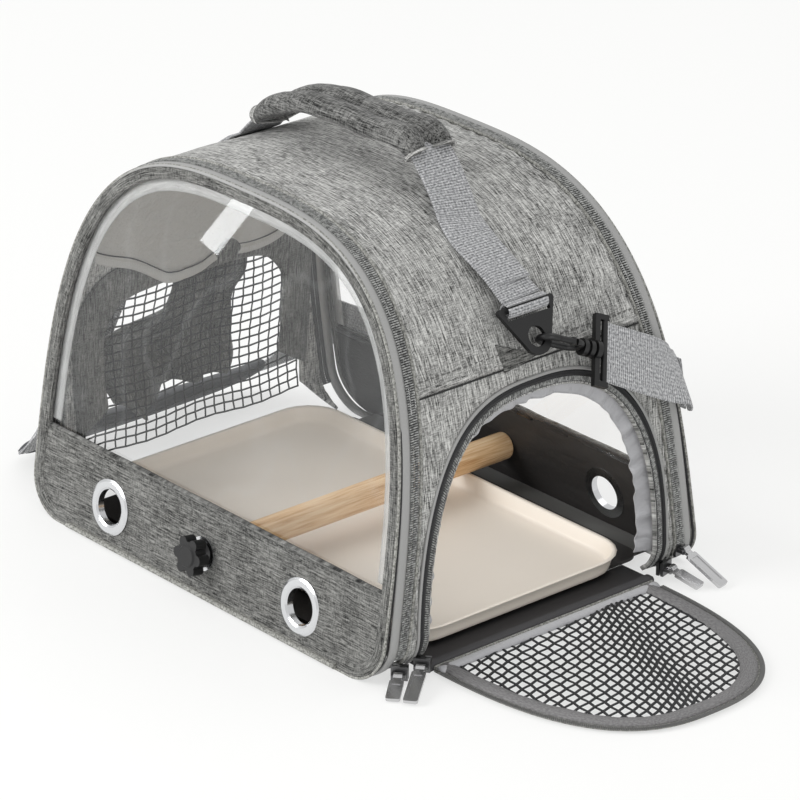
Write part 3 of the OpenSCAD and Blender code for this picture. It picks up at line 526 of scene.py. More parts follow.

# The lining is a pale grey sheet of soft cloth stretched under the top, seen through the windows.
# It hangs in shallow folds, and its lower left edge is turned up in a hem, with a thin line of painted seam
# shade along it.
lining_look = Look("lining", tone(170, 168, 164), Roughness=0.7)
lining_look.bump(lining_look.noise(lining_look.place(), (22, 40, 60), 4.0, 0.6), 0.008, 0.7)
hem_look = Look("lining_hem", tone(178, 177, 174), Roughness=0.7)
hem_look.bump(hem_look.ribs(hem_look.cloth(), 0, 0.0016), 0.0003, 0.6)
line, way, length = arch_outline(320, low=0.10)
t = np.linspace(-1, 1, 90)[None, :]
s = np.linspace(0, 1, 190)[:, None]
run = np.linspace(0, length, 320)
left_foot = np.interp(t, [-1, -0.68, -0.34, 0, 0.4, 1], [0.173, 0.158, 0.143, 0.139, 0.143, 0.154])
left_foot = left_foot + 0.0016 * np.sin(9 * t + 1)
left_run = np.interp(left_foot, line[::-1, 1][:160], run[::-1][:160])
right_run = np.interp(0.184, line[:160, 1], run[:160])
along = right_run + (left_run - right_run) * s
x, z, out_x, out_z = (np.interp(along, run, part) for part in (line[:, 0], line[:, 1], way[:, 0], way[:, 1]))
y = t * zip_line(z)
low_left = np.clip((0.19 - z) / 0.05, 0, 1) * (x < 0)
sag = -0.0046 + 0.0022 * ripple(along, y, 21, 0.06) - 0.0026 * np.abs(ripple(along, y, 23, 0.11))
sag = sag - low_left * (0.004 + 0.006 * ripple(y, z, 22, 0.09))
points = np.stack([x + out_x * sag, y, z + out_z * sag], 2)
lining = turn_out(make_mesh("ceiling_lining_cloth", points, cloth_grid(points)), closed=False)
fit(thicken(lining, 0.0008), lining_look, "carrier", "ceiling_lining")
hem = points[-1]
swept("lining_hem", hem, (0, 0, 1), (1, 0, 0), round_profile(0.0075, 0.0022, 10, 3.0), hem_look, "carrier")
# A thin strip of painted shade runs along the hem.
swept("lining_hem_shade_line", hem + [0.0022, 0, 0.0044], (0, 0, 1), (1, 0, 0), round_profile(0.0010, 0.0008, 6),
      seam_shade_look, "carrier")

# The end panels: a dark heather rim with pale piping on its edge, a clear window, a lower band
# with two eyelets, and behind the rim a smooth grey strip that carries the zipper.
film_look = Look("clear_film", (0.93, 0.95, 0.96, 1), Roughness=0.02, Metallic=1.0)
facing = film_look.add("ShaderNodeLayerWeight", {"Blend": 0.5}, out="Facing")
crease = film_look.noise(film_look.place(), (14, 5, 9), 1.5, 0.4)
line = 1.0 - film_look.sum("MINIMUM", film_look.sum("ABSOLUTE", crease - 0.5) * 42.0, 1.0)
haze = film_look.noise(film_look.place(), (6, 6, 11), 1.0)
film_look.feed("Alpha", facing ** 5.0 * 0.9 + 0.02 + line * 0.02 + haze * 0.02)
film_look.bump(haze, 0.0003, 0.3)
frost_look = Look("film_hem", tone(196, 197, 196), Roughness=0.3)
fold = frost_look.noise(frost_look.cloth(), (60, 500, 1), 2.0)
frost_look.feed("Alpha", fold * 0.5 + 0.22)
frost_look.bump(fold, 0.0008, 0.5)

strip_look = Look("grey_strip", tone(150, 150, 149), Roughness=0.5)
strip_look.bump(strip_look.ribs(strip_look.cloth(), 0, 0.0016), 0.00012, 0.4)
piping_look = Look("grey_piping", tone(122, 122, 118), Roughness=0.55)
twist = piping_look.noise(piping_look.place(), (700, 700, 700))
piping_look.feed("Base Color", piping_look.ramp(twist, (0.35, tone(92, 92, 88)),
                                                (0.65, tone(158, 158, 153))))
piping_look.bump(twist, 0.0005, 0.5)
dark_lining = Look("dark_lining", tone(40, 38, 37), Roughness=0.55)
dark_lining.bump(dark_lining.noise(dark_lining.place(), (40, 40, 90), 3.0), 0.003, 0.4)
# Painted shade: a near-black finish for the narrow grooves between rim, piping and zipper.
groove_shade_look = Look("groove_shade", tone(34, 34, 36), Roughness=0.8).grain(900, 0.0004, 0.4)
coil_look = Look("zip_coil", tone(150, 151, 152), Roughness=0.4)
coil_look.feed("Base Color", coil_look.ramp(coil_look.noise(coil_look.place(), (500, 500, 500), 2.0),
                                            (0.36, tone(92, 93, 92)), (0.62, tone(164, 165, 163))))
tape_look = Look("zip_tape", tone(60, 60, 61), Roughness=0.85)
tape_look.bump(tape_look.ribs(tape_look.cloth(), 0, 0.0009), 0.0002, 0.6)


def end_plane(end, x, z, deep, foot=0.0, lean=face_lean):
    """Points of an end panel: deep is how far behind the leaning plane; end is -1 in front, 1 behind."""
    return np.stack([x, -end * (deep + foot + lean * z - half_y), z], -1)


def edge_sweep(name, end, profile, look, body, foot=0.0, lean=face_lean, low=None,
               stands_for=None):
    """A profile carried round the arch; each of its points is a step out of the arch and one deep."""
    line, way, length = arch_outline(420, low)
    loop = low is None
    if loop:
        line, way = line[:-1], way[:-1]
    profile = np.asarray(profile)
    x = line[:, :1] + way[:, :1] * profile[None, :, 0]
    z = line[:, 1:] + way[:, 1:] * profile[None, :, 0]
    points = end_plane(end, x, z, profile[None, :, 1], foot, lean)
    flat = wrapped(np.linspace(0, length, len(line) + loop), profile)
    piece = make_mesh(name, points, flat, round_rows=loop, round_cols=True, cap=not loop)
    return fit(turn_out(piece), look, body, stands_for)


def coil_along(name, path, reach_way, up_way, look, body, stands_for, pitch=0.0015, reach=0.0031):
    """Half a zipper's coil: small rounded teeth side by side along a path, as one mesh."""
    count = int(run_of(path)[-1] / pitch)
    line = evenly(path, count)[0]
    to, up = (spread(np.broadcast_to(way, path.shape), count) for way in (reach_way, up_way))
    along = unit(np.gradient(line, axis=0))
    shape = np.array([(e, a, b) for e in (0, 0.35, 1)
                      for a, b in ((-1, 0.1), (-0.7, 0.85), (0.7, 0.85), (1, 0.1))])
    tall = 0.0011 * np.where(shape[:, 0] == 0, 0.7, 1.0)
    points = (line[:, None] + to[:, None] * (shape[:, 0] * reach)[None, :, None]
              + along[:, None] * (shape[:, 1] * 0.00052)[None, :, None]
              + up[:, None] * (shape[:, 2] * tall)[None, :, None])
    cell = np.array([(r + k, r + k + 1, r + k + 5, r + k + 4) for r in (0, 4) for k in range(3)]
                    + [(r, r + 4, r + 7, r + 3) for r in (0, 4)]
                    + [(0, 3, 2, 1), (8, 9, 10, 11)])
    faces = (cell[None] + (np.arange(count) * 12)[:, None, None]).reshape(-1, 4).tolist()
    return fit(turn_out(add_piece(name, points, faces, False)), look, body, stands_for)


zip_low, band_top = 0.017, 0.0605
eyelets, eyelet_z, eyelet_r = (-0.095, 0.095), 0.0267, 0.0152
knob_z, screw_r = 0.0285, 0.0062


def band_sheet(end, name, seed, deep=0.0002):
    """The cloth below the window, slightly slack, with holes under the eyelets and the knob."""
    z = np.linspace(0.001, band_top, 62)[:, None]
    x = np.linspace(-1, 1, 300)[None, :] * (half_width(z) - 0.0075)
    z = np.broadcast_to(z, x.shape)
    slack = 0.0005 * ripple(x, z, seed, 0.05) * np.clip(z / 0.01, 0, 1)
    lip = -0.0008 * np.exp(-(band_top - z) / 0.0015)
    points = end_plane(end, x, z, slack + lip + deep)
    spots = [(e, eyelet_z, eyelet_r) for e in eyelets] + [(0.0, knob_z, screw_r)]

    def in_hole(mid):
        """Whether a cell's middle lies in one of the round holes."""
        away = [np.hypot(mid[:, 0] - a, (mid[:, 2] - b)) < r for a, b, r in spots]
        return np.any(away, axis=0)

    piece = turn_out(make_mesh(name, points, np.stack([x, z], -1), drop=in_hole), closed=False)
    return thicken(piece, 0.0026 if deep < 0.001 else 0.0004)


def window_sheet(end, name):
    """The clear film: the arch inside the rim, slightly wavy."""
    z = 0.056 + (body_z - 0.0052 - 0.056) * np.sin(np.linspace(0, math.pi / 2, 60))[:, None]
    x = np.linspace(-1, 1, 90)[None, :] * np.maximum(half_width(z + 0.004) - 0.005, 0.0002)
    z = np.broadcast_to(z, x.shape)
    wave = 0.00018 * ripple(x, z, 31 + end, 0.22)
    points = end_plane(end, x, z, 0.0034 + wave)
    return thicken(turn_out(make_mesh(name, points), closed=False), 0.0005)


for end, name in ((-1, "front"), (1, "back")):
    body = name + "_panel"
    edge_sweep(name + "_rim_cloth", end, [(-0.0095, 0.0002), (-0.0088, -0.0004), (-0.0045, -0.0009),
                                          (-0.0012, -0.0004), (-0.0006, 0.0012), (-0.0012, 0.003),
                                          (-0.0092, 0.0033), (-0.0098, 0.0018)],
               face_heather, body, stands_for=name + "_rim")
    edge_sweep(name + "_rim_piping", end, round_profile(0.0019, 0.0019, 8, at=(-0.0006, 0.0001)),
               piping_look, body)
    # A near-black strip beside the piping paints the shade in the groove next to the rim.
    edge_sweep(name + "_rim_groove_shade", end, round_profile(0.0016, 0.0014, 8, at=(-0.0008, 0.0018)),
               groove_shade_look, body)
    edge_sweep(name + "_side_strip", end, [(-0.0004, -0.0098), (0.0003, -0.0085), (0.0004, -0.005),
                                           (0.0002, -0.0032), (-0.0014, -0.0032), (-0.0016, -0.0098)],
               strip_look, body, zip_foot, zip_lean, stands_for=name + "_edge_strip")
    for deep, on, half in ((-0.0019, body, "panel"), (0.0019, "carrier", "body")):
        edge_sweep(name + "_tape_" + half, end, round_profile(0.0008, 0.0034, 8, 4.0, (-0.0006, deep)),
                   tape_look, on, zip_foot, zip_lean, zip_low)
        ring, out, _ = arch_outline(600, zip_low)
        path = end_plane(end, ring[:, 0], ring[:, 1], 0.00012 * np.sign(deep), zip_foot, zip_lean)
        coil_along(name + "_coil_" + half, path, (0, -end * np.sign(deep), 0),
                   np.column_stack([out[:, 0], np.zeros(600), out[:, 1]]), coil_look, on,
                   name + "_zip_" + half + "_half")
    edge_sweep(name + "_body_piping", end, round_profile(0.0024, 0.0022, 8, at=(0.0004, 0.0047)),
               piping_look, "carrier", zip_foot, zip_lean, 0.006)
    fit(band_sheet(end, name + "_band_cloth", 40 + end), face_heather, body, name + "_band")
    edge_sweep(name + "_film_hem", end, [(-0.0095, 0.0034), (-0.0175, 0.0036), (-0.0178, 0.0043),
                                         (-0.0095, 0.0042)], frost_look, body, low=0.062)
    fit(band_sheet(end, name + "_band_inside", 40 + end, 0.0034), dark_lining, body)
    fit(window_sheet(end, name + "_film"), film_look, body, name + "_window")
    x = np.linspace(-1, 1, 90) * (float(half_width(0.058)) - 0.009)
    stitches(name + "_band_stitch", end_plane(end, x, np.full(90, 0.0575), -0.0006), (0, end, 0.15), body)

# The perch is a turned bar of pale wood with chamfered ends. A brass insert in each end takes the
# screw of a knob, which holds the bar between the two end panels.
wood_look = Look("pale_wood", tone(236, 208, 170), Roughness=0.55)
grain = wood_look.noise(wood_look.place(), (420, 18, 420), 4.0, 0.6)
fleck = wood_look.noise(wood_look.place(), (1500, 60, 1500), 2.0, 0.5)
wood_look.feed("Base Color", wood_look.ramp(grain * 0.7 + fleck * 0.3, (0.35, tone(200, 152, 102)),
                                            (0.5, tone(230, 192, 146)), (0.66, tone(244, 216, 178))))
wood_look.bump(grain, 0.0004, 0.3)


def turned(profile):
    """Points of a turned bar: a line of radius and length along Y, closed to its axis, spun round it."""
    t = np.linspace(0, 2 * math.pi, 64, endpoint=False)
    radius, along = np.array(profile).T[..., None]
    return np.stack([-radius * np.sin(t), along + 0 * t, perch_z - radius * np.cos(t)], 2)


perch_r, perch_end, perch_z = 0.00925, 0.12375, 0.0276
half_bar = [(0.0, 0.0), (0.0, perch_end - 0.01), (0.00645, perch_end - 0.01), (0.00645, perch_end - 0.0001),
            (0.0066, perch_end), (perch_r - 0.0011, perch_end), (perch_r - 0.0003, perch_end - 0.0004),
            (perch_r, perch_end - 0.0013), (perch_r, 0.08), (perch_r, 0.04)]
bar = turned(half_bar[1:] + [(r, -h) for r, h in half_bar[:0:-1]])
fit(turn_out(make_mesh("perch_bar", bar, round_cols=True)), wood_look, "carrier", "perch")
brass_look = Look("brass", tone(190, 158, 92), Metallic=1.0, Roughness=0.35)
brass_look.bump(brass_look.ribs(brass_look.place(), 1, 0.0008), 0.0001, 0.4)
dress(node["perch_inserts"], brass_look)

# The tray is one thin shell of moulded ivory plastic with flared walls, soft corners and a small
# rolled lip. It lies loose on the base board and slides out through the doorway.
tray_look = Look("ivory_plastic", tone(236, 227, 215), Roughness=0.38).grain(1600, 0.00015, 0.25)
plan_count = 128


def plan_ring(long, wide, round_r):
    """A rectangle in plan with round corners, as evenly spread points."""
    t = np.radians(np.linspace(0, 90, 17))
    quarter = np.stack([long / 2 - round_r + round_r * np.cos(t),
                        wide / 2 - round_r + round_r * np.sin(t)], 1)
    ring = np.concatenate([quarter, quarter[::-1] * [-1, 1], -quarter, quarter[::-1] * [1, -1]])
    return evenly(np.vstack([ring, ring[:1]]), plan_count + 1)[0][:plan_count]


def plan_shell(name, sections, long, wide, round_r, look, body, stands_for):
    """A shell from stacked rings; each section is how far in from the full plan, and its height."""
    rings = []
    for inset, z in sections:
        ring = plan_ring(long - 2 * inset, wide - 2 * inset, max(round_r - inset, 0.0005))
        rings.append(np.column_stack([ring, np.full(len(ring), z)]))
    for at, z in ((0, sections[0][1]), (len(rings) + 1, sections[-1][1])):
        rings.insert(at, np.tile([0, 0, z], (plan_count, 1)))
    return fit(turn_out(make_mesh(name, np.array(rings), round_cols=True)), look, body, stands_for)


tray_low, tray_long, tray_wide, tray_corner = 0.0056, 0.316, 0.185, 0.027
tray_walls = [(0.030, 0.0), (0.0068, 0.0), (0.0056, 0.0002), (0.0050, 0.0007), (0.0040, 0.0035),
              (0.0020, 0.0105), (0.0012, 0.0109), (0.0002, 0.0110), (0.0, 0.0114), (0.0002, 0.0118),
              (0.0016, 0.0119), (0.0026, 0.0117), (0.0032, 0.0108), (0.0052, 0.0045), (0.0062, 0.0027),
              (0.0082, 0.0020), (0.0105, 0.0018), (0.030, 0.0018)]
plan_shell("tray_shell", [(inset, tray_low + z) for inset, z in tray_walls], tray_long, tray_wide,
           tray_corner, tray_look, "tray_body", "tray")

# The base is a padded heather panel with a stiff dark board on it. In the doorway its edge is
# covered by a sill of folded tape, raised a little at its outer side.
board_look = Look("dark_board", tone(44, 41, 40), Roughness=0.7).grain(800, 0.0003, 0.5)
dress(node["base_board"], board_look)
plan_shell("base_cloth", [(0.03, 0.0), (0.002, 0.0), (0.0006, 0.0005), (0.0, 0.0015), (0.0006, 0.0026),
                          (0.002, 0.003), (0.03, 0.003)], 0.276, 0.2656, 0.004, face_heather,
           "carrier", "base_panel")
# The sill's tape is darkened to near-black, painting the shade that falls on it between the tray and the
# door's fold.
shaded_sill_tape = Look("shaded_sill_tape", tone(66, 65, 67), Roughness=0.8)
shaded_sill_tape.bump(shaded_sill_tape.ribs(shaded_sill_tape.place(), 1, 0.0011), 0.0002, 0.5)
y = np.linspace(-0.0938, 0.0938, 60)
path = np.column_stack([np.full(60, 0.160), y, np.full(60, 0.0)])
swept("sill_cloth", path, (1, 0, 0), (0, 0, 1),
      [(-0.015, 0.0003), (-0.015, 0.0029), (0.0068, 0.0031), (0.0078, 0.0046), (0.0095, 0.005),
       (0.0135, 0.0049), (0.0146, 0.0038), (0.0146, 0.0006), (0.0138, 0.0)],
      shaded_sill_tape, "carrier", "door_sill")


# The doorway is edged with half of the zipper on its tape, with piping outside it and, between the two, a
# near-black strip that paints the shade in the groove. Inside it hangs a loose pale binding that the cut
# edge of the wall is folded into.
def door_ring(name, profile, look, count=260, low=0.006, wave=0.0, stands_for=None):
    """A profile carried round the doorway; each point is a step outwards and one out of the wall."""
    profile = np.asarray(profile)
    rings = np.stack([door_outline(count, grow, low) for grow in profile[:, 0]], 1)
    y, z = rings[..., 0], rings[..., 1]
    run = np.linspace(0, edge_run, count)[:, None]
    points = shell_points(1, y, z, profile[None, :, 1] + wave * ripple(run, profile[None, :, 0], 77, 0.016))
    piece = make_mesh(name, points, ring_cloth(run, profile), round_cols=True, cap=True)
    return fit(turn_out(piece), look, "carrier", stands_for)


def ring_cloth(run, profile):
    """A ring's place on the flat cloth: the length round the doorway and each point's step outwards."""
    flat = np.stack(np.broadcast_arrays(run, profile[None, :, 0]), 2)
    return np.concatenate([flat, flat[:, :1]], 1)


edge_run = 0.42
ring = door_outline(400, 0.0012, 0.007)
away = unit(door_outline(400, 0.0062, 0.007) - ring)
coil_along("doorway_coil", shell_points(1, ring[:, 0], ring[:, 1], 0.0003),
           np.column_stack([np.zeros(400), away]), (1, 0, 0), coil_look, "carrier", "door_opening_zip")
door_ring("doorway_tape", [(0.0008, 0.0002), (0.0008, 0.0007), (0.006, 0.0007), (0.006, 0.0002)], tape_look)
door_ring("doorway_groove_shade", [(0.0058, 0.0), (0.0058, 0.0012), (0.0078, 0.0012), (0.0078, 0.0)], groove_shade_look)
door_ring("doorway_piping", [(0.0078, 0.0), (0.0078, 0.0013), (0.0086, 0.0021), (0.0096, 0.0013),
                             (0.0096, 0.0)], strip_look)
binding_look = Look("pale_binding", tone(172, 172, 175), Roughness=0.5)
binding_look.shader.inputs["Sheen Weight"].default_value = 0.3
binding_look.bump(binding_look.noise(binding_look.cloth(), (190, 60, 1), 3.0), 0.0022, 0.8)
door_ring("doorway_binding", [(0.0022, -0.0032), (0.0010, -0.0034), (-0.0010, -0.0062), (-0.0070, -0.0082),
                              (-0.0092, -0.0086), (-0.0090, -0.0094), (-0.0060, -0.0090),
                              (0.0002, -0.0078), (0.0024, -0.0046)],
          binding_look, 520, 0.021, 0.0016, "door_binding")

# The side door lies open on the floor: black square net in a wide grey tape frame that is folded
# over its edge, with the other half of the zipper round it and a cord in its fold at the sill.
door_x, flap_z = 0.1763, 0.0002
flap_long, flap_half = 0.1526, 0.0933
net_look = Look("black_net", tone(24, 25, 27), Roughness=0.55).grain(2600, 0.0002, 0.5)


def flap_edge(inset, t, foot=0.001):
    """The door's edge drawn in by a distance, over its angle, in X and Y."""
    t = np.radians(t)
    return np.stack([door_x + foot + (flap_long - foot - inset) * np.abs(np.sin(t)) ** (2 / door_power),
                     -(flap_half - inset) * bulge(np.cos(t), door_power)], -1)


def net(name, runs, body, stands_for, wide, thick=0.0008):
    """Woven net: flat strands along many runs of points, each with its own outward ways, as one mesh."""
    verts, faces, start = [], [], 0
    ring_t = np.radians([0, 60, 120, 180, 240, 300])
    for run, out in runs:
        across = np.cross(unit(np.gradient(run, axis=0)), out)
        ring = (run[:, None] + across[:, None] * (np.cos(ring_t) * wide / 2)[None, :, None]
                + np.asarray(out) * (np.sin(ring_t) * thick / 2)[None, :, None])
        rows = len(run)
        i, j = np.meshgrid(np.arange(rows - 1), np.arange(6), indexing="ij")
        quads = np.stack([i * 6 + j, i * 6 + (j + 1) % 6, (i + 1) * 6 + (j + 1) % 6, (i + 1) * 6 + j], -1)
        verts.append(ring.reshape(-1, 3))
        faces += (quads.reshape(-1, 4) + start).tolist()
        faces += [[start + k for k in range(5, -1, -1)], [start + (rows - 1) * 6 + k for k in range(6)]]
        start += rows * 6
    return fit(add_piece(name, np.concatenate(verts), faces), net_look, body, stands_for)


def weave(first, second, high):
    """How far a strand rises over or dips under the ones that it crosses."""
    return 0.00035 * np.where((first + second) % 2 == 0, 1.0, -1.0) * (1 if high else -1)


def in_door(x, y, inset=0.0085):
    """Whether a floor point lies inside the door's outline drawn in by a distance."""
    along = np.clip((x - door_x - 0.002) / (flap_long - inset - 0.002), -1, 9)
    aside = np.abs(y) / (flap_half - inset)
    return (along > 0) & (np.abs(along) ** door_power + aside ** door_power < 1)


def sewn_run(points):
    """The part of a strand inside the door, with its ends carried out to the frame by halving."""
    inside = np.flatnonzero(in_door(points[:, 0], points[:, 1]))
    if len(inside) < 1 or inside[0] == 0 or inside[-1] == len(points) - 1:
        return None
    run = points[inside[0] - 1:inside[-1] + 2].copy()
    for tip, held in ((0, 1), (-1, -2)):
        low, high = run[held].copy(), run[tip].copy()
        for _ in range(10):
            half = (low + high) / 2
            low, high = (half, high) if in_door(half[0], half[1]) else (low, half)
        run[tip] = low
    return run


runs = []
net_pitch, net_count = 0.0072, 57
first_way, other_way = (net_pitch * np.array([math.cos(a), math.sin(a)]) for a in np.radians([-8, 106]))
i, j = np.indices((net_count, net_count)) - net_count // 2
knots = np.array([door_x + 0.075, 0.0]) + i[..., None] * first_way + j[..., None] * other_way
knots = knots + 0.0008 * np.stack([ripple(knots[..., 1], knots[..., 0], 71, 0.06),
                                   ripple(knots[..., 0], knots[..., 1], 72, 0.06)], -1)
# A low crease runs across the net from its back hinge corner, and the cells crowd together along it.
crease_side = np.array([0.405, 0.914])
off_crease = (knots - [0.177, 0.051]) @ crease_side
crowd = 0.40 * off_crease * np.exp(-(off_crease / 0.036) ** 2 / 2)
knots = knots - crowd[..., None] * crease_side
hump = 0.0014 * np.exp(-(off_crease / 0.016) ** 2 / 2)
hump = hump + 0.0003 * np.abs(ripple(knots[..., 0], knots[..., 1], 73, 0.07))
rim_share = np.clip(0.93 - (np.abs((knots[..., 0] - door_x) / flap_long) ** 2.6
                            + np.abs(knots[..., 1] / flap_half) ** 2.6), 0, 1)
height = flap_z + 0.0021 + hump * np.minimum(1, rim_share * 3)
for high in (True, False):
    lifted = height + weave(i, j, high)
    strands = np.concatenate([knots, lifted[..., None]], 2)
    for k in range(net_count):
        run = sewn_run(strands[:, k] if high else strands[k])
        if run is not None:
            runs.append((run, (0, 0, 1)))
net("door_net", runs, "side_door", "door_mesh", 0.0023, 0.0009)


def flap_ring(name, profile, look, wave=0.0, stands_for=None):
    """A profile carried round the door's edge; its points are a step in from the edge and a height."""
    profile = np.asarray(profile)
    edges = np.stack([flap_edge(inset, np.linspace(0, 180, 300)) for inset in profile[:, 0]], 1)
    run = np.linspace(0, edge_run, 300)[:, None]
    inner = (profile[None, :, 0] / 0.018) ** 2
    lift = wave * inner * np.abs(ripple(run, profile[None, :, 0], 3, 0.05))
    points = np.concatenate([edges, (profile[None, :, 1] + flap_z + lift)[..., None]], 2)
    piece = make_mesh(name, points, ring_cloth(run, profile), round_cols=True, cap=True)
    return fit(turn_out(piece), look, "side_door", stands_for)


frame_tape = Look("door_tape", tone(112, 111, 112), Roughness=0.7)
grainy = frame_tape.noise(frame_tape.cloth(), (420, 1300, 1), 3.0)
frame_tape.feed("Base Color", frame_tape.ramp(grainy, (0.35, tone(100, 99, 100)),
                                              (0.65, tone(128, 127, 127))))
frame_tape.bump(grainy + frame_tape.noise(frame_tape.cloth(), (60, 200, 1)), 0.0009, 0.6)
flap_ring("door_tape_ring", [(0.0050, 0.0010), (0.0044, 0.0022), (0.0050, 0.0034), (0.0072, 0.0044),
                             (0.0100, 0.0046), (0.0128, 0.0040), (0.0148, 0.0028), (0.0152, 0.0020),
                             (0.0144, 0.0010), (0.0060, 0.0008)],
          frame_tape, 0.0009, "door_frame")
flap_ring("door_edge_tape", [(0.0016, 0.0010), (0.0012, 0.0016), (0.0016, 0.0022), (0.0052, 0.0024),
                             (0.0052, 0.0010)], piping_look)
door_coil_look = Look("door_coil", tone(96, 96, 95), Roughness=0.45).grain(900, 0.0002, 0.4)
edge, rim = (flap_edge(inset, np.linspace(1, 179, 400)) for inset in (0.0034, 0.0))
coil_along("door_coil", np.column_stack([edge, np.full(400, flap_z + 0.0021)]),
           unit(np.column_stack([rim - edge, np.zeros(400)])), (0, 0, 1), door_coil_look, "side_door",
           "door_zip_half", 0.0013)
path = np.column_stack([np.full(50, door_x + 0.0085), np.linspace(-0.090, 0.090, 50), np.full(50, flap_z)])
swept("door_fold_tape", path, (1, 0, 0), (0, 0, 1),
      round_profile(0.0072, 0.0042, 14, 2.2, (-0.0042, 0.0026)), binding_look, "side_door")
for cord, body in (("door_hinge_cord", "side_door"), ("front_hinge_cord", "front_panel"),
                   ("back_hinge_cord", "back_panel")):
    dress(node[cord], piping_look)

# The left window is a finer cut of the same net, left bare to the air. It is sewn behind the
# wall's edge, and a wide heather tape binds it on its inner side.
net_zs = 0.0225 + np.arange(0, 24) * 0.0062
net_ys = np.arange(-14, 15) * 0.0082
net_half, net_high = door_half + 0.004, door_top + 0.004 - door_sill
share = np.clip((net_zs - door_sill) / net_high, 0, 1)
reach = net_half * (1 - share ** door_power) ** (1 / door_power)
share = np.minimum(1, np.abs(net_ys) / net_half)
rise = door_sill + net_high * (1 - share ** door_power) ** (1 / door_power)
grid_z, grid_y = np.meshgrid(net_zs, net_ys, indexing="ij")
a, b = np.indices(grid_z.shape)


def on_left_wall(high):
    """The net's crossing points on the left wall, raised or lowered by the weave and a little uneven."""
    y = grid_y + 0.0016 * np.sin(grid_z * 60 + grid_y * 25)
    z = grid_z + 0.0014 * np.sin(y * 70 + 1.0)
    return np.stack([-(half_width(grid_z) - 0.0036 + weave(a, b, high)), y, z], 2)


across, up = on_left_wall(True), on_left_wall(False)
runs = [(across[k, np.abs(net_ys) < reach[k]], (-1, 0, 0)) for k in range(len(net_zs))]
runs += [(up[net_zs < rise[k], k], (-1, 0, 0)) for k in range(len(net_ys))]
net("left_net", [(run, out) for run, out in runs if len(run) > 1], "carrier", "left_mesh", 0.0014)
t = np.radians(np.linspace(-22, 202, 300))[:, None]
steps = np.array([0.099, 0.090, 0.082, 0.076, 0.0745])[None, :]
y = -steps * bulge(np.cos(t), 4.6) * (1 + 0.016 * np.sin(7 * t))
z = 0.084 + (0.073 - 0.099 + steps) * bulge(np.sin(t), 4.0)
z = np.maximum(z, 0.019 - (0.0745 - steps) * 0.3)
lift = np.array([0.0004, 0.0018, 0.0022, 0.0018, 0.0006])[None, :] + 0.0005 * ripple(y, z, 61, 0.03)
points = np.stack([-(half_width(z) - 0.0038 - lift), y, z], 2)
tape = turn_out(make_mesh("left_net_tape", points, np.stack([z, y], 2)), closed=False)
fit(thicken(tape, 0.0006), face_heather, "carrier")

# The shade is a thin heather cover sewn above the left window. It hangs slack and crumpled outside
# the net, drawn in below its top seam.
# The shade's heather is partly its own grey and partly made lighter, painting the daylight that shines
# through the thin cover.
backlit_shade_heather = heather_look("backlit_shade_heather", tone(38, 38, 38), tone(140, 140, 137))
k = np.linspace(0, 1, 90)[:, None]
q = np.linspace(-1, 1, 130)[None, :]


def eased(share):
    """A share from 0 to 1 that starts and ends softly."""
    share = np.clip(share, 0, 1)
    return share * share * (3 - 2 * share)


drop, low = eased((k - 0.10) / 0.16), eased((k - 0.50) / 0.08)
right_edge = 0.088 + (0.046 - 0.088) * drop + 0.006 * np.sin(9 * k) * k
left_edge = -0.088 + (0.088 - 0.012) * drop - 0.056 * low + 0.022 * np.clip((k - 0.75) / 0.25, 0, 1)
y = (right_edge + left_edge) / 2 + q * (right_edge - left_edge) / 2
z = 0.166 - (0.134 - 0.010 * np.sin(2.6 * q + 0.7) - 0.006 * np.cos(7 * q) - 0.014 * (q < 0) * q * q) * k
folds = 0.0055 * k ** 0.7 * np.sin(q * 8.0 + 4.2 * k) + 0.0036 * k ** 0.5 * np.sin(q * 17 - 5 * k + 1)
away = 0.0034 + 0.020 * k ** 1.4 + folds + 0.0036 * ripple(y, z, 8, 0.045) * np.sqrt(k)
wall_x = half_width(0.166 * (1 - k) + z * k)
points = np.stack([-(wall_x + np.maximum(away, 0.0026)), y, z], 2)
shade = turn_out(make_mesh("shade_cloth", points, cloth_grid(points)), closed=False)
fit(thicken(shade, 0.0014, 0.0), backlit_shade_heather, "carrier", "shade_flap")

# The handle: one length of ribbed webbing over the top, looped through the strap loops at its
# ends, and a padded heather wrap closed along its upper side.
web_look = Look("ribbed_webbing", tone(150, 151, 156), Roughness=0.6)
web_look.shader.inputs["Sheen Weight"].default_value = 0.25
rib = web_look.ribs(web_look.cloth(), 0, 0.0017)
cord = web_look.ribs(web_look.cloth(), 1, 0.0024)
speck = web_look.noise(web_look.cloth(), (750, 520, 1), 3.0, 0.7)
web_look.feed("Base Color", web_look.ramp(rib * 0.14 + cord * 0.05 + speck * 0.81, (0.34, tone(84, 85, 87)),
                                          (0.5, tone(147, 148, 150)), (0.66, tone(204, 204, 206))))
web_look.bump(rib * 0.5 + cord * 0.3 + speck * 0.5, 0.0006, 0.9)

web_wide, leave_x, handle_top = 0.032, 0.098, 0.290
grip_half, grip_drop = 0.075, 0.018


def arch_height(x):
    """The height of the top at a distance along X, from the arch's superellipse."""
    return corner_z + (body_z - corner_z) * (1 - (np.abs(x) / half_x) ** arch_power) ** (1 / arch_power)


def arch_tilt(z):
    """How far the wall's outward way has turned up from level, at a height."""
    high = (z - corner_z) / (body_z - corner_z)
    rise_part = high ** (arch_power - 1) / (body_z - corner_z)
    return np.arctan2(rise_part, (half_width(z) / half_x) ** (arch_power - 1) / half_x)


drop_power = (math.log((handle_top - float(arch_height(leave_x)) - 0.0013) / grip_drop)
              / math.log(leave_x / grip_half))


def handle_height(x):
    """The webbing's height: level over the crown, falling to the arch, held up at the wrap's right end."""
    held_up = 0.0095 * np.exp(-((x - 0.061) / 0.021) ** 2)
    return handle_top - grip_drop * (np.abs(x) / grip_half) ** drop_power + held_up


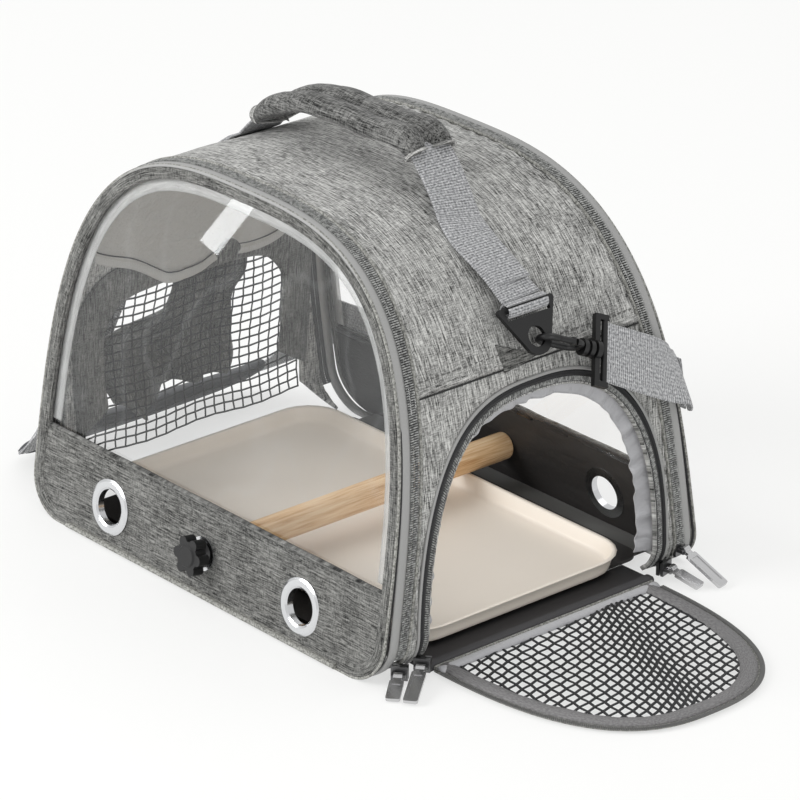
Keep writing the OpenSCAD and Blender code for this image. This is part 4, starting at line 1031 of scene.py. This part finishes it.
loop_z, loop_away = 0.205, 0.0095
wall_z = float(arch_height(leave_x)) + (loop_z + 0.004 - float(arch_height(leave_x))) * np.linspace(0, 1, 24)
off = 0.0013 + (loop_away - 0.0013) * np.linspace(0, 1, 24) ** 3
tilt = arch_tilt(wall_z)
wall_run = np.column_stack([half_width(wall_z) + off * np.cos(tilt), wall_z + off * np.sin(tilt)])
span = np.linspace(0, leave_x - 0.006, 30)
half_line = np.concatenate([np.column_stack([span, handle_height(span)]), wall_run])
other_half = np.concatenate([np.column_stack([span, handle_height(-span)]), wall_run])
whole = np.concatenate([other_half[:0:-1] * [-1, 1], half_line])
whole = evenly(whole, 240)[0]


def in_plane(line):
    """A line in X and Z as points at Y 0, with its sideways and outward ways."""
    way = unit(np.gradient(line, axis=0))
    flat = np.zeros(len(line))
    return (np.column_stack([line[:, 0], flat, line[:, 1]]), np.tile([0, 1.0, 0], (len(line), 1)),
            np.column_stack([-way[:, 1], flat, way[:, 0]]))


path, side_way, out_way = in_plane(whole)


def web_sway(x):
    """How far the webbing strays sideways, in a slack curve on each side of the wrap."""
    return -0.0065 * np.exp(-((x - 0.116) / 0.022) ** 2) + 0.003 * np.exp(-((x + 0.120) / 0.024) ** 2)


bend = web_sway(path[:, 0])
path[:, 1] += bend
side_way = side_way + np.gradient(bend, path[:, 0])[:, None] * np.array([-1.0, 0, 0])
twist = -0.20 * np.exp(-((path[:, 0] - 0.096) / 0.014) ** 2)
side_way = unit(side_way + out_way * twist[:, None])
out_way = unit(np.cross(side_way, np.gradient(path, axis=0)))
out_way = out_way * np.sign(out_way[120, 2])
swept("handle_web", path, side_way, out_way, round_profile(web_wide, 0.0018, 24, 6.0), web_look, "carrier",
      "handle_webbing")
loop_tilt = float(arch_tilt(loop_z))
loop_at = np.array([float(half_width(loop_z)) + loop_away * math.cos(loop_tilt), 0,
                    loop_z + loop_away * math.sin(loop_tilt)])
for sign, side in ((1, "right"), (-1, "left")):
    t = np.radians(np.linspace(60, 400, 40))
    ring_line = np.column_stack([sign * (loop_at[0] + 0.0042 * np.cos(t)), loop_at[2] + 0.0042 * np.sin(t)])
    path, side_way, out_way = in_plane(ring_line)
    swept("handle_web_turn_" + side, path, side_way, out_way, round_profile(web_wide, 0.0015, 20, 6.0),
          web_look, "carrier")
    lap = whole[-34:-8] if sign > 0 else whole[8:34][::-1]
    path, side_way, out_way = in_plane(lap)
    path = path + out_way * (0.0016 if sign > 0 else -0.0016)
    path[:, 1] += web_sway(path[:, 0])
    swept("handle_web_lap_" + side, path, side_way, out_way, round_profile(0.0316, 0.0014, 20, 6.0),
          web_look, "carrier")


def points_of(mesh):
    """A mesh's points as rows."""
    flat = np.empty(len(mesh.vertices) * 3)
    mesh.vertices.foreach_get("co", flat)
    return flat.reshape(-1, 3)


def drawn_mesh(piece):
    """A new mesh of the piece as its modifiers leave it."""
    return bpy.data.meshes.new_from_object(piece.evaluated_get(bpy.context.evaluated_depsgraph_get()))


def puffed(piece, size, most, held):
    """Blows a closed cloth up from inside: an even mesh, a short cloth run without gravity with the
    held points fixed, each point's move kept under a limit, then one subdivision."""
    even = piece.modifiers.new("even", "REMESH")
    even.mode = "VOXEL"
    even.voxel_size = size
    soft = piece.modifiers.new("soft", "SMOOTH")
    soft.factor = 0.5
    soft.iterations = 3
    even_mesh = drawn_mesh(piece)
    piece.modifiers.clear()
    piece.data = even_mesh
    before = points_of(even_mesh)
    group = piece.vertex_groups.new(name="held")
    group.add(np.flatnonzero(held(before)).tolist(), 1.0, "REPLACE")
    cloth = piece.modifiers.new("cloth", "CLOTH")
    cloth.settings.quality = 6
    cloth.settings.mass = 0.15
    cloth.settings.use_pressure = True
    cloth.settings.uniform_pressure_force = 4.0
    cloth.settings.vertex_group_mass = "held"
    cloth.settings.effector_weights.gravity = 0
    for step in range(1, 21):
        bpy.context.scene.frame_set(step)
    blown = drawn_mesh(piece)
    bpy.context.scene.frame_set(1)
    piece.modifiers.clear()
    move = points_of(blown) - before
    far = np.linalg.norm(move, axis=1)[:, None]
    after = before + move * np.minimum(1, most / np.maximum(far, 0.000001))
    after[:, 2] = np.maximum(after[:, 2], 0.0005)
    blown.vertices.foreach_set("co", after.ravel())
    blown.polygons.foreach_set("use_smooth", np.ones(len(blown.polygons), bool))
    piece.data = blown
    finer = piece.modifiers.new("finer", "SUBSURF")
    finer.levels = finer.render_levels = 1
    return piece


grip_heather = heather_look("grip_heather", tone(16, 16, 16), tone(136, 136, 134), 0, True)
t = np.linspace(-1, 1, 110)
x = -0.006 + t * grip_half
line = np.column_stack([x, handle_height(x)])
path, side_way, out_way = in_plane(line)
u = np.linspace(0, 2 * math.pi, 72, endpoint=False)
wide = 0.0198 * bulge(np.cos(u), 2.5)
lobe = np.sqrt(np.clip(1 - ((np.abs(wide) - 0.0099) / 0.0101) ** 2, 0, 1))
tall = np.where(np.sin(u) > 0, -0.0006 + 0.0090 * lobe, -0.0012 - 0.0042 * np.sqrt(np.abs(np.sin(u))))
valley = np.where(np.sin(u) > 0, np.exp(-(wide / 0.0035) ** 2), 0)
near_end = np.clip((np.abs(t) - 0.86) / 0.14, 0, 1)[:, None]
crease = 0.0006 * ripple(x[:, None], wide[None], 14, 0.035)
rows = (path[:, None] + side_way[:, None] * (wide[None] * (1 - 0.05 * near_end))[..., None]
        + out_way[:, None] * (tall[None] * (1 - 0.18 * near_end) - 0.0030 * valley[None] * near_end
                              + crease)[..., None])
recess = 0.009 * valley[None] * np.clip((np.abs(t) - 0.9) / 0.1, 0, 1)[:, None] ** 2 * -np.sign(t)[:, None]
rows[..., 0] += recess
girth = np.linspace(0, 0.100, 73)
flat = np.stack(np.broadcast_arrays(x[:, None] + 0.2, girth[None]), 2)
grip = turn_out(make_mesh("handle_wrap", rows, flat, round_cols=True, cap=True))


def grip_seams(points):
    """The valley and both ends of the wrap, which its seams hold down."""
    aside = np.abs(points[:, 1])
    ends = (points[:, 0] > x[-1] - 0.006) | (points[:, 0] < x[0] + 0.006)
    return ends | (aside < 0.0032) | (aside > 0.0185)


fit(puffed(grip, 0.0028, 0.0016, grip_seams), grip_heather, "carrier", "handle_grip")
for end, side in ((-1, "right"), (0, "left")):
    ring = rows[end] - np.array([0.0012 * (1 if side == "right" else -1), 0, 0])
    swept("grip_hem_" + side, ring, (1, 0, 0), unit(ring - ring.mean(0)),
          round_profile(0.0042, 0.0018, 10, 3.0), side_heather, "carrier", loop=True)
for side in (-1, 1):
    row = path + side_way * side * 0.0040 + out_way * 0.0062
    stitches("grip_stitch_" + ("near" if side < 0 else "far"), row[5:-5], out_way[5:-5], "carrier")

# The strap loops, hooks, gates, bars, buckle and knobs are moulded in black nylon. They are the
# solids themselves, which need only their finish.
nylon_look = Look("black_nylon", tone(11, 11, 12), Roughness=0.42).grain(1800, 0.00025, 0.35)
for name in ("loop_right", "loop_left", "hook_right", "hook_left", "gate_right", "gate_left",
             "strap_bar_right", "strap_bar_left", "strap_adjuster", "front_knob", "back_knob"):
    dress(node[name], nylon_look)

# The metal parts are the solids too: bright rolled eyelets and washers, grey zip pulls, and the
# darker cast sliders that the pulls hang from.
steel_look = Look("bright_metal", tone(214, 215, 217), Metallic=1.0, Roughness=0.2).grain(500, 0.0002, 0.15)
for name in ("front_eyelets", "back_eyelets", "front_washer", "back_washer"):
    dress(node[name], steel_look)
pull_look = Look("grey_metal", tone(200, 200, 201), Metallic=1.0, Roughness=0.26).grain(900, 0.0002, 0.2)
for name in ("pull_front", "pull_door_front", "pull_door_back", "pull_back"):
    dress(node[name], pull_look)
slider_look = Look("dark_metal", tone(112, 112, 113), Metallic=1.0, Roughness=0.35).grain(900, 0.0002, 0.2)
dress(node["zip_sliders"], slider_look)

# Under each strap loop a small three-cornered patch of the dark heather cloth is sewn flat on the
# side seam, where the loop pulls at the shell.
corner = np.array([(-0.024, 0.191), (0.006, 0.178), (-0.022, 0.174)])
for sign, side in ((1, "right"), (-1, "left")):
    a = np.linspace(0, 1, 14)[:, None, None]
    b = np.linspace(0, 1, 14)[None, :, None]
    flat = corner[0] * (1 - a) * (1 - b) + corner[2] * (1 - a) * b + corner[1] * a
    points = shell_points(sign, flat[..., 0], flat[..., 1], 0.0021)
    patch = turn_out(make_mesh("loop_patch_" + side, points, flat), closed=False)
    fit(thicken(patch, 0.0012), face_heather, "carrier", "loop_patches" if sign > 0 else None)

# The shoulder strap: wide ribbed webbing, stitched round each bar. It turns the back corner,
# crosses the back window, and comes forward along the floor on the left, through its pad.
lean_angle = math.atan(face_lean)
back_out = np.array([0, math.cos(lean_angle), math.sin(lean_angle)])
back_up = np.array([0, -math.sin(lean_angle), math.cos(lean_angle)])
corner_width = np.array([-0.32, -0.146, 0.936])
strap_wide, strap_thick = 0.038, 0.0018


def back_strap(x):
    """The strap's middle and width way behind the back panel, from its place along X in mm."""
    across = 90 * x / 177
    z = 100.5 + 40.5 * math.sin(math.radians(across)) - 8.5 * max(0, math.sin(math.radians(across))) ** 2
    slope = math.atan(40.5 * math.pi / 2 / 177 * math.cos(math.radians(across)))
    k = max(0, min(1, (x - 120) / 50))
    wide = math.cos(slope) * back_up - math.sin(slope) * np.array([1, 0, 0])
    return (*(np.array([x, 133 - face_lean * z, z]) + back_out), *((1 - k) * wide + k * corner_width))


def hook_place(drop, along):
    """A point on a hanging hook: so far along it, with the hook turned down from level by an angle."""
    drop = math.radians(drop)
    down = 0.020 + along * math.sin(drop)
    return np.array([loop_at[0] + down * math.sin(loop_tilt), along * math.cos(drop),
                     loop_at[2] - down * math.cos(loop_tilt)])


def strap(name, stations, body, stands_for, cuts=(), look=web_look, slot="webbing",
          profile=round_profile(strap_wide, strap_thick, 24, 6.0)):
    """Webbing through stations in mm, each a middle and a width way, smoothed and cut by planes."""
    stations = np.array(stations)
    fine = np.linspace(0, len(stations) - 1, (len(stations) - 1) * 8 + 1)
    base = np.clip(fine.astype(int), 0, len(stations) - 2)
    f = (fine - base)[:, None]
    four = [stations[np.clip(base + d, 0, len(stations) - 1)] for d in (-1, 0, 1, 2)]
    smooth = 0.5 * (2 * four[1] + (four[2] - four[0]) * f
                    + (2 * four[0] - 5 * four[1] + 4 * four[2] - four[3]) * f ** 2
                    + (3 * four[1] - four[0] - 3 * four[2] + four[3]) * f ** 3)
    path, side = smooth[:, :3] / 1000, unit(smooth[:, 3:])
    out = unit(np.cross(np.gradient(path, axis=0), side))
    piece = swept(name, path, side, out, profile, look, body, stands_for)
    shape = bmesh.new()
    shape.from_mesh(piece.data)
    for at, way in cuts:
        whole_mesh = shape.verts[:] + shape.edges[:] + shape.faces[:]
        cut = bmesh.ops.bisect_plane(shape, geom=whole_mesh, plane_co=at, plane_no=way, clear_outer=True)
        rim = [g for g in cut["geom_cut"] if isinstance(g, bmesh.types.BMEdge)]
        bmesh.ops.holes_fill(shape, edges=rim)
    shape.to_mesh(piece.data)
    shape.free()
    return piece


bar_along = 0.0513
bar_at = hook_place(26, bar_along) * 1000
right_stations = [(*bar_at, -0.457, 0.438, 0.774), (179, 58, 167.3, -0.43, 0.42, 0.8),
                  (181.3, 80, 156, -0.38, 0.34, 0.86), (181, 97, 146.6, -0.34, 0.12, 0.93),
                  (180.2, 106, 141.2, *corner_width), (179.4, 110, 138.2, *corner_width),
                  (177.8, 112, 135.2, *corner_width), back_strap(175), back_strap(165)]
strap("strap_right", right_stations, "carrier", "strap_right_run",
      [((0.1772, 0.112, 0.135), (-0.9, 0.44, 0))])
strap("strap_back", [back_strap(x) for x in np.linspace(-183, 183, 39)], "back_panel", "strap_back_run",
      [((0.1767, 0, 0), (1, 0, 0)), ((-0.1767, 0, 0), (-1, 0, 0))])
left_bar = hook_place(120, bar_along) * [-1000, 1000, 1000]
on_edge = (0.864, 0, 0.503)
left_stations = [back_strap(-167), back_strap(-176), (-183, 125, 57.5, 0.15, -0.1, 0.98),
                 (-193, 118, 47, 0.3, -0.05, 0.95), (-206, 104, 33, 0.6, 0, 0.8),
                 (-216, 84, 21, 0.82, 0, 0.57), (-221, 58, 17.8, *on_edge), (-222, 20, 17.8, *on_edge),
                 (-222, -20, 17.8, *on_edge), (-222, -52, 17.8, *on_edge), (-221, -78, 17.8, *on_edge),
                 (-219, -96, 19, 0.83, 0, 0.55),
                 (-214, -104, 24, 0.7, -0.1, 0.7), (-208, -98, 32, 0.5, -0.3, 0.8),
                 (-205, -86, 44, 0.3, -0.5, 0.8),
                 (-203, -74, 62, 0.15, -0.65, 0.72), (-200, -64, 88, 0.1, -0.75, 0.65),
                 (-196, -48, 120, 0.2, -0.82, 0.54),
                 (left_bar[0] - 5, left_bar[1] - 6, left_bar[2] - 9, 0.25, -0.866, 0.43),
                 (*left_bar, 0.2545, -0.866, 0.43)]
strap("strap_left", left_stations, "carrier", "strap_left_run", [((-0.1773, 0, 0), (1, 0, 0))])
pad_look = Look("pad_cloth", tone(64, 65, 68), Roughness=0.85).grain(900, 0.0006, 0.6)
pad = strap("strap_pad", left_stations[5:12], "carrier", "shoulder_pad", (), pad_look, "pad_fabric",
            round_profile(0.050, 0.0092, 28, 3.2))
puffed(pad, 0.0032, 0.003, lambda at: (at[:, 1] > 0.080) | (at[:, 1] < -0.092) | (at[:, 2] < 0.002))
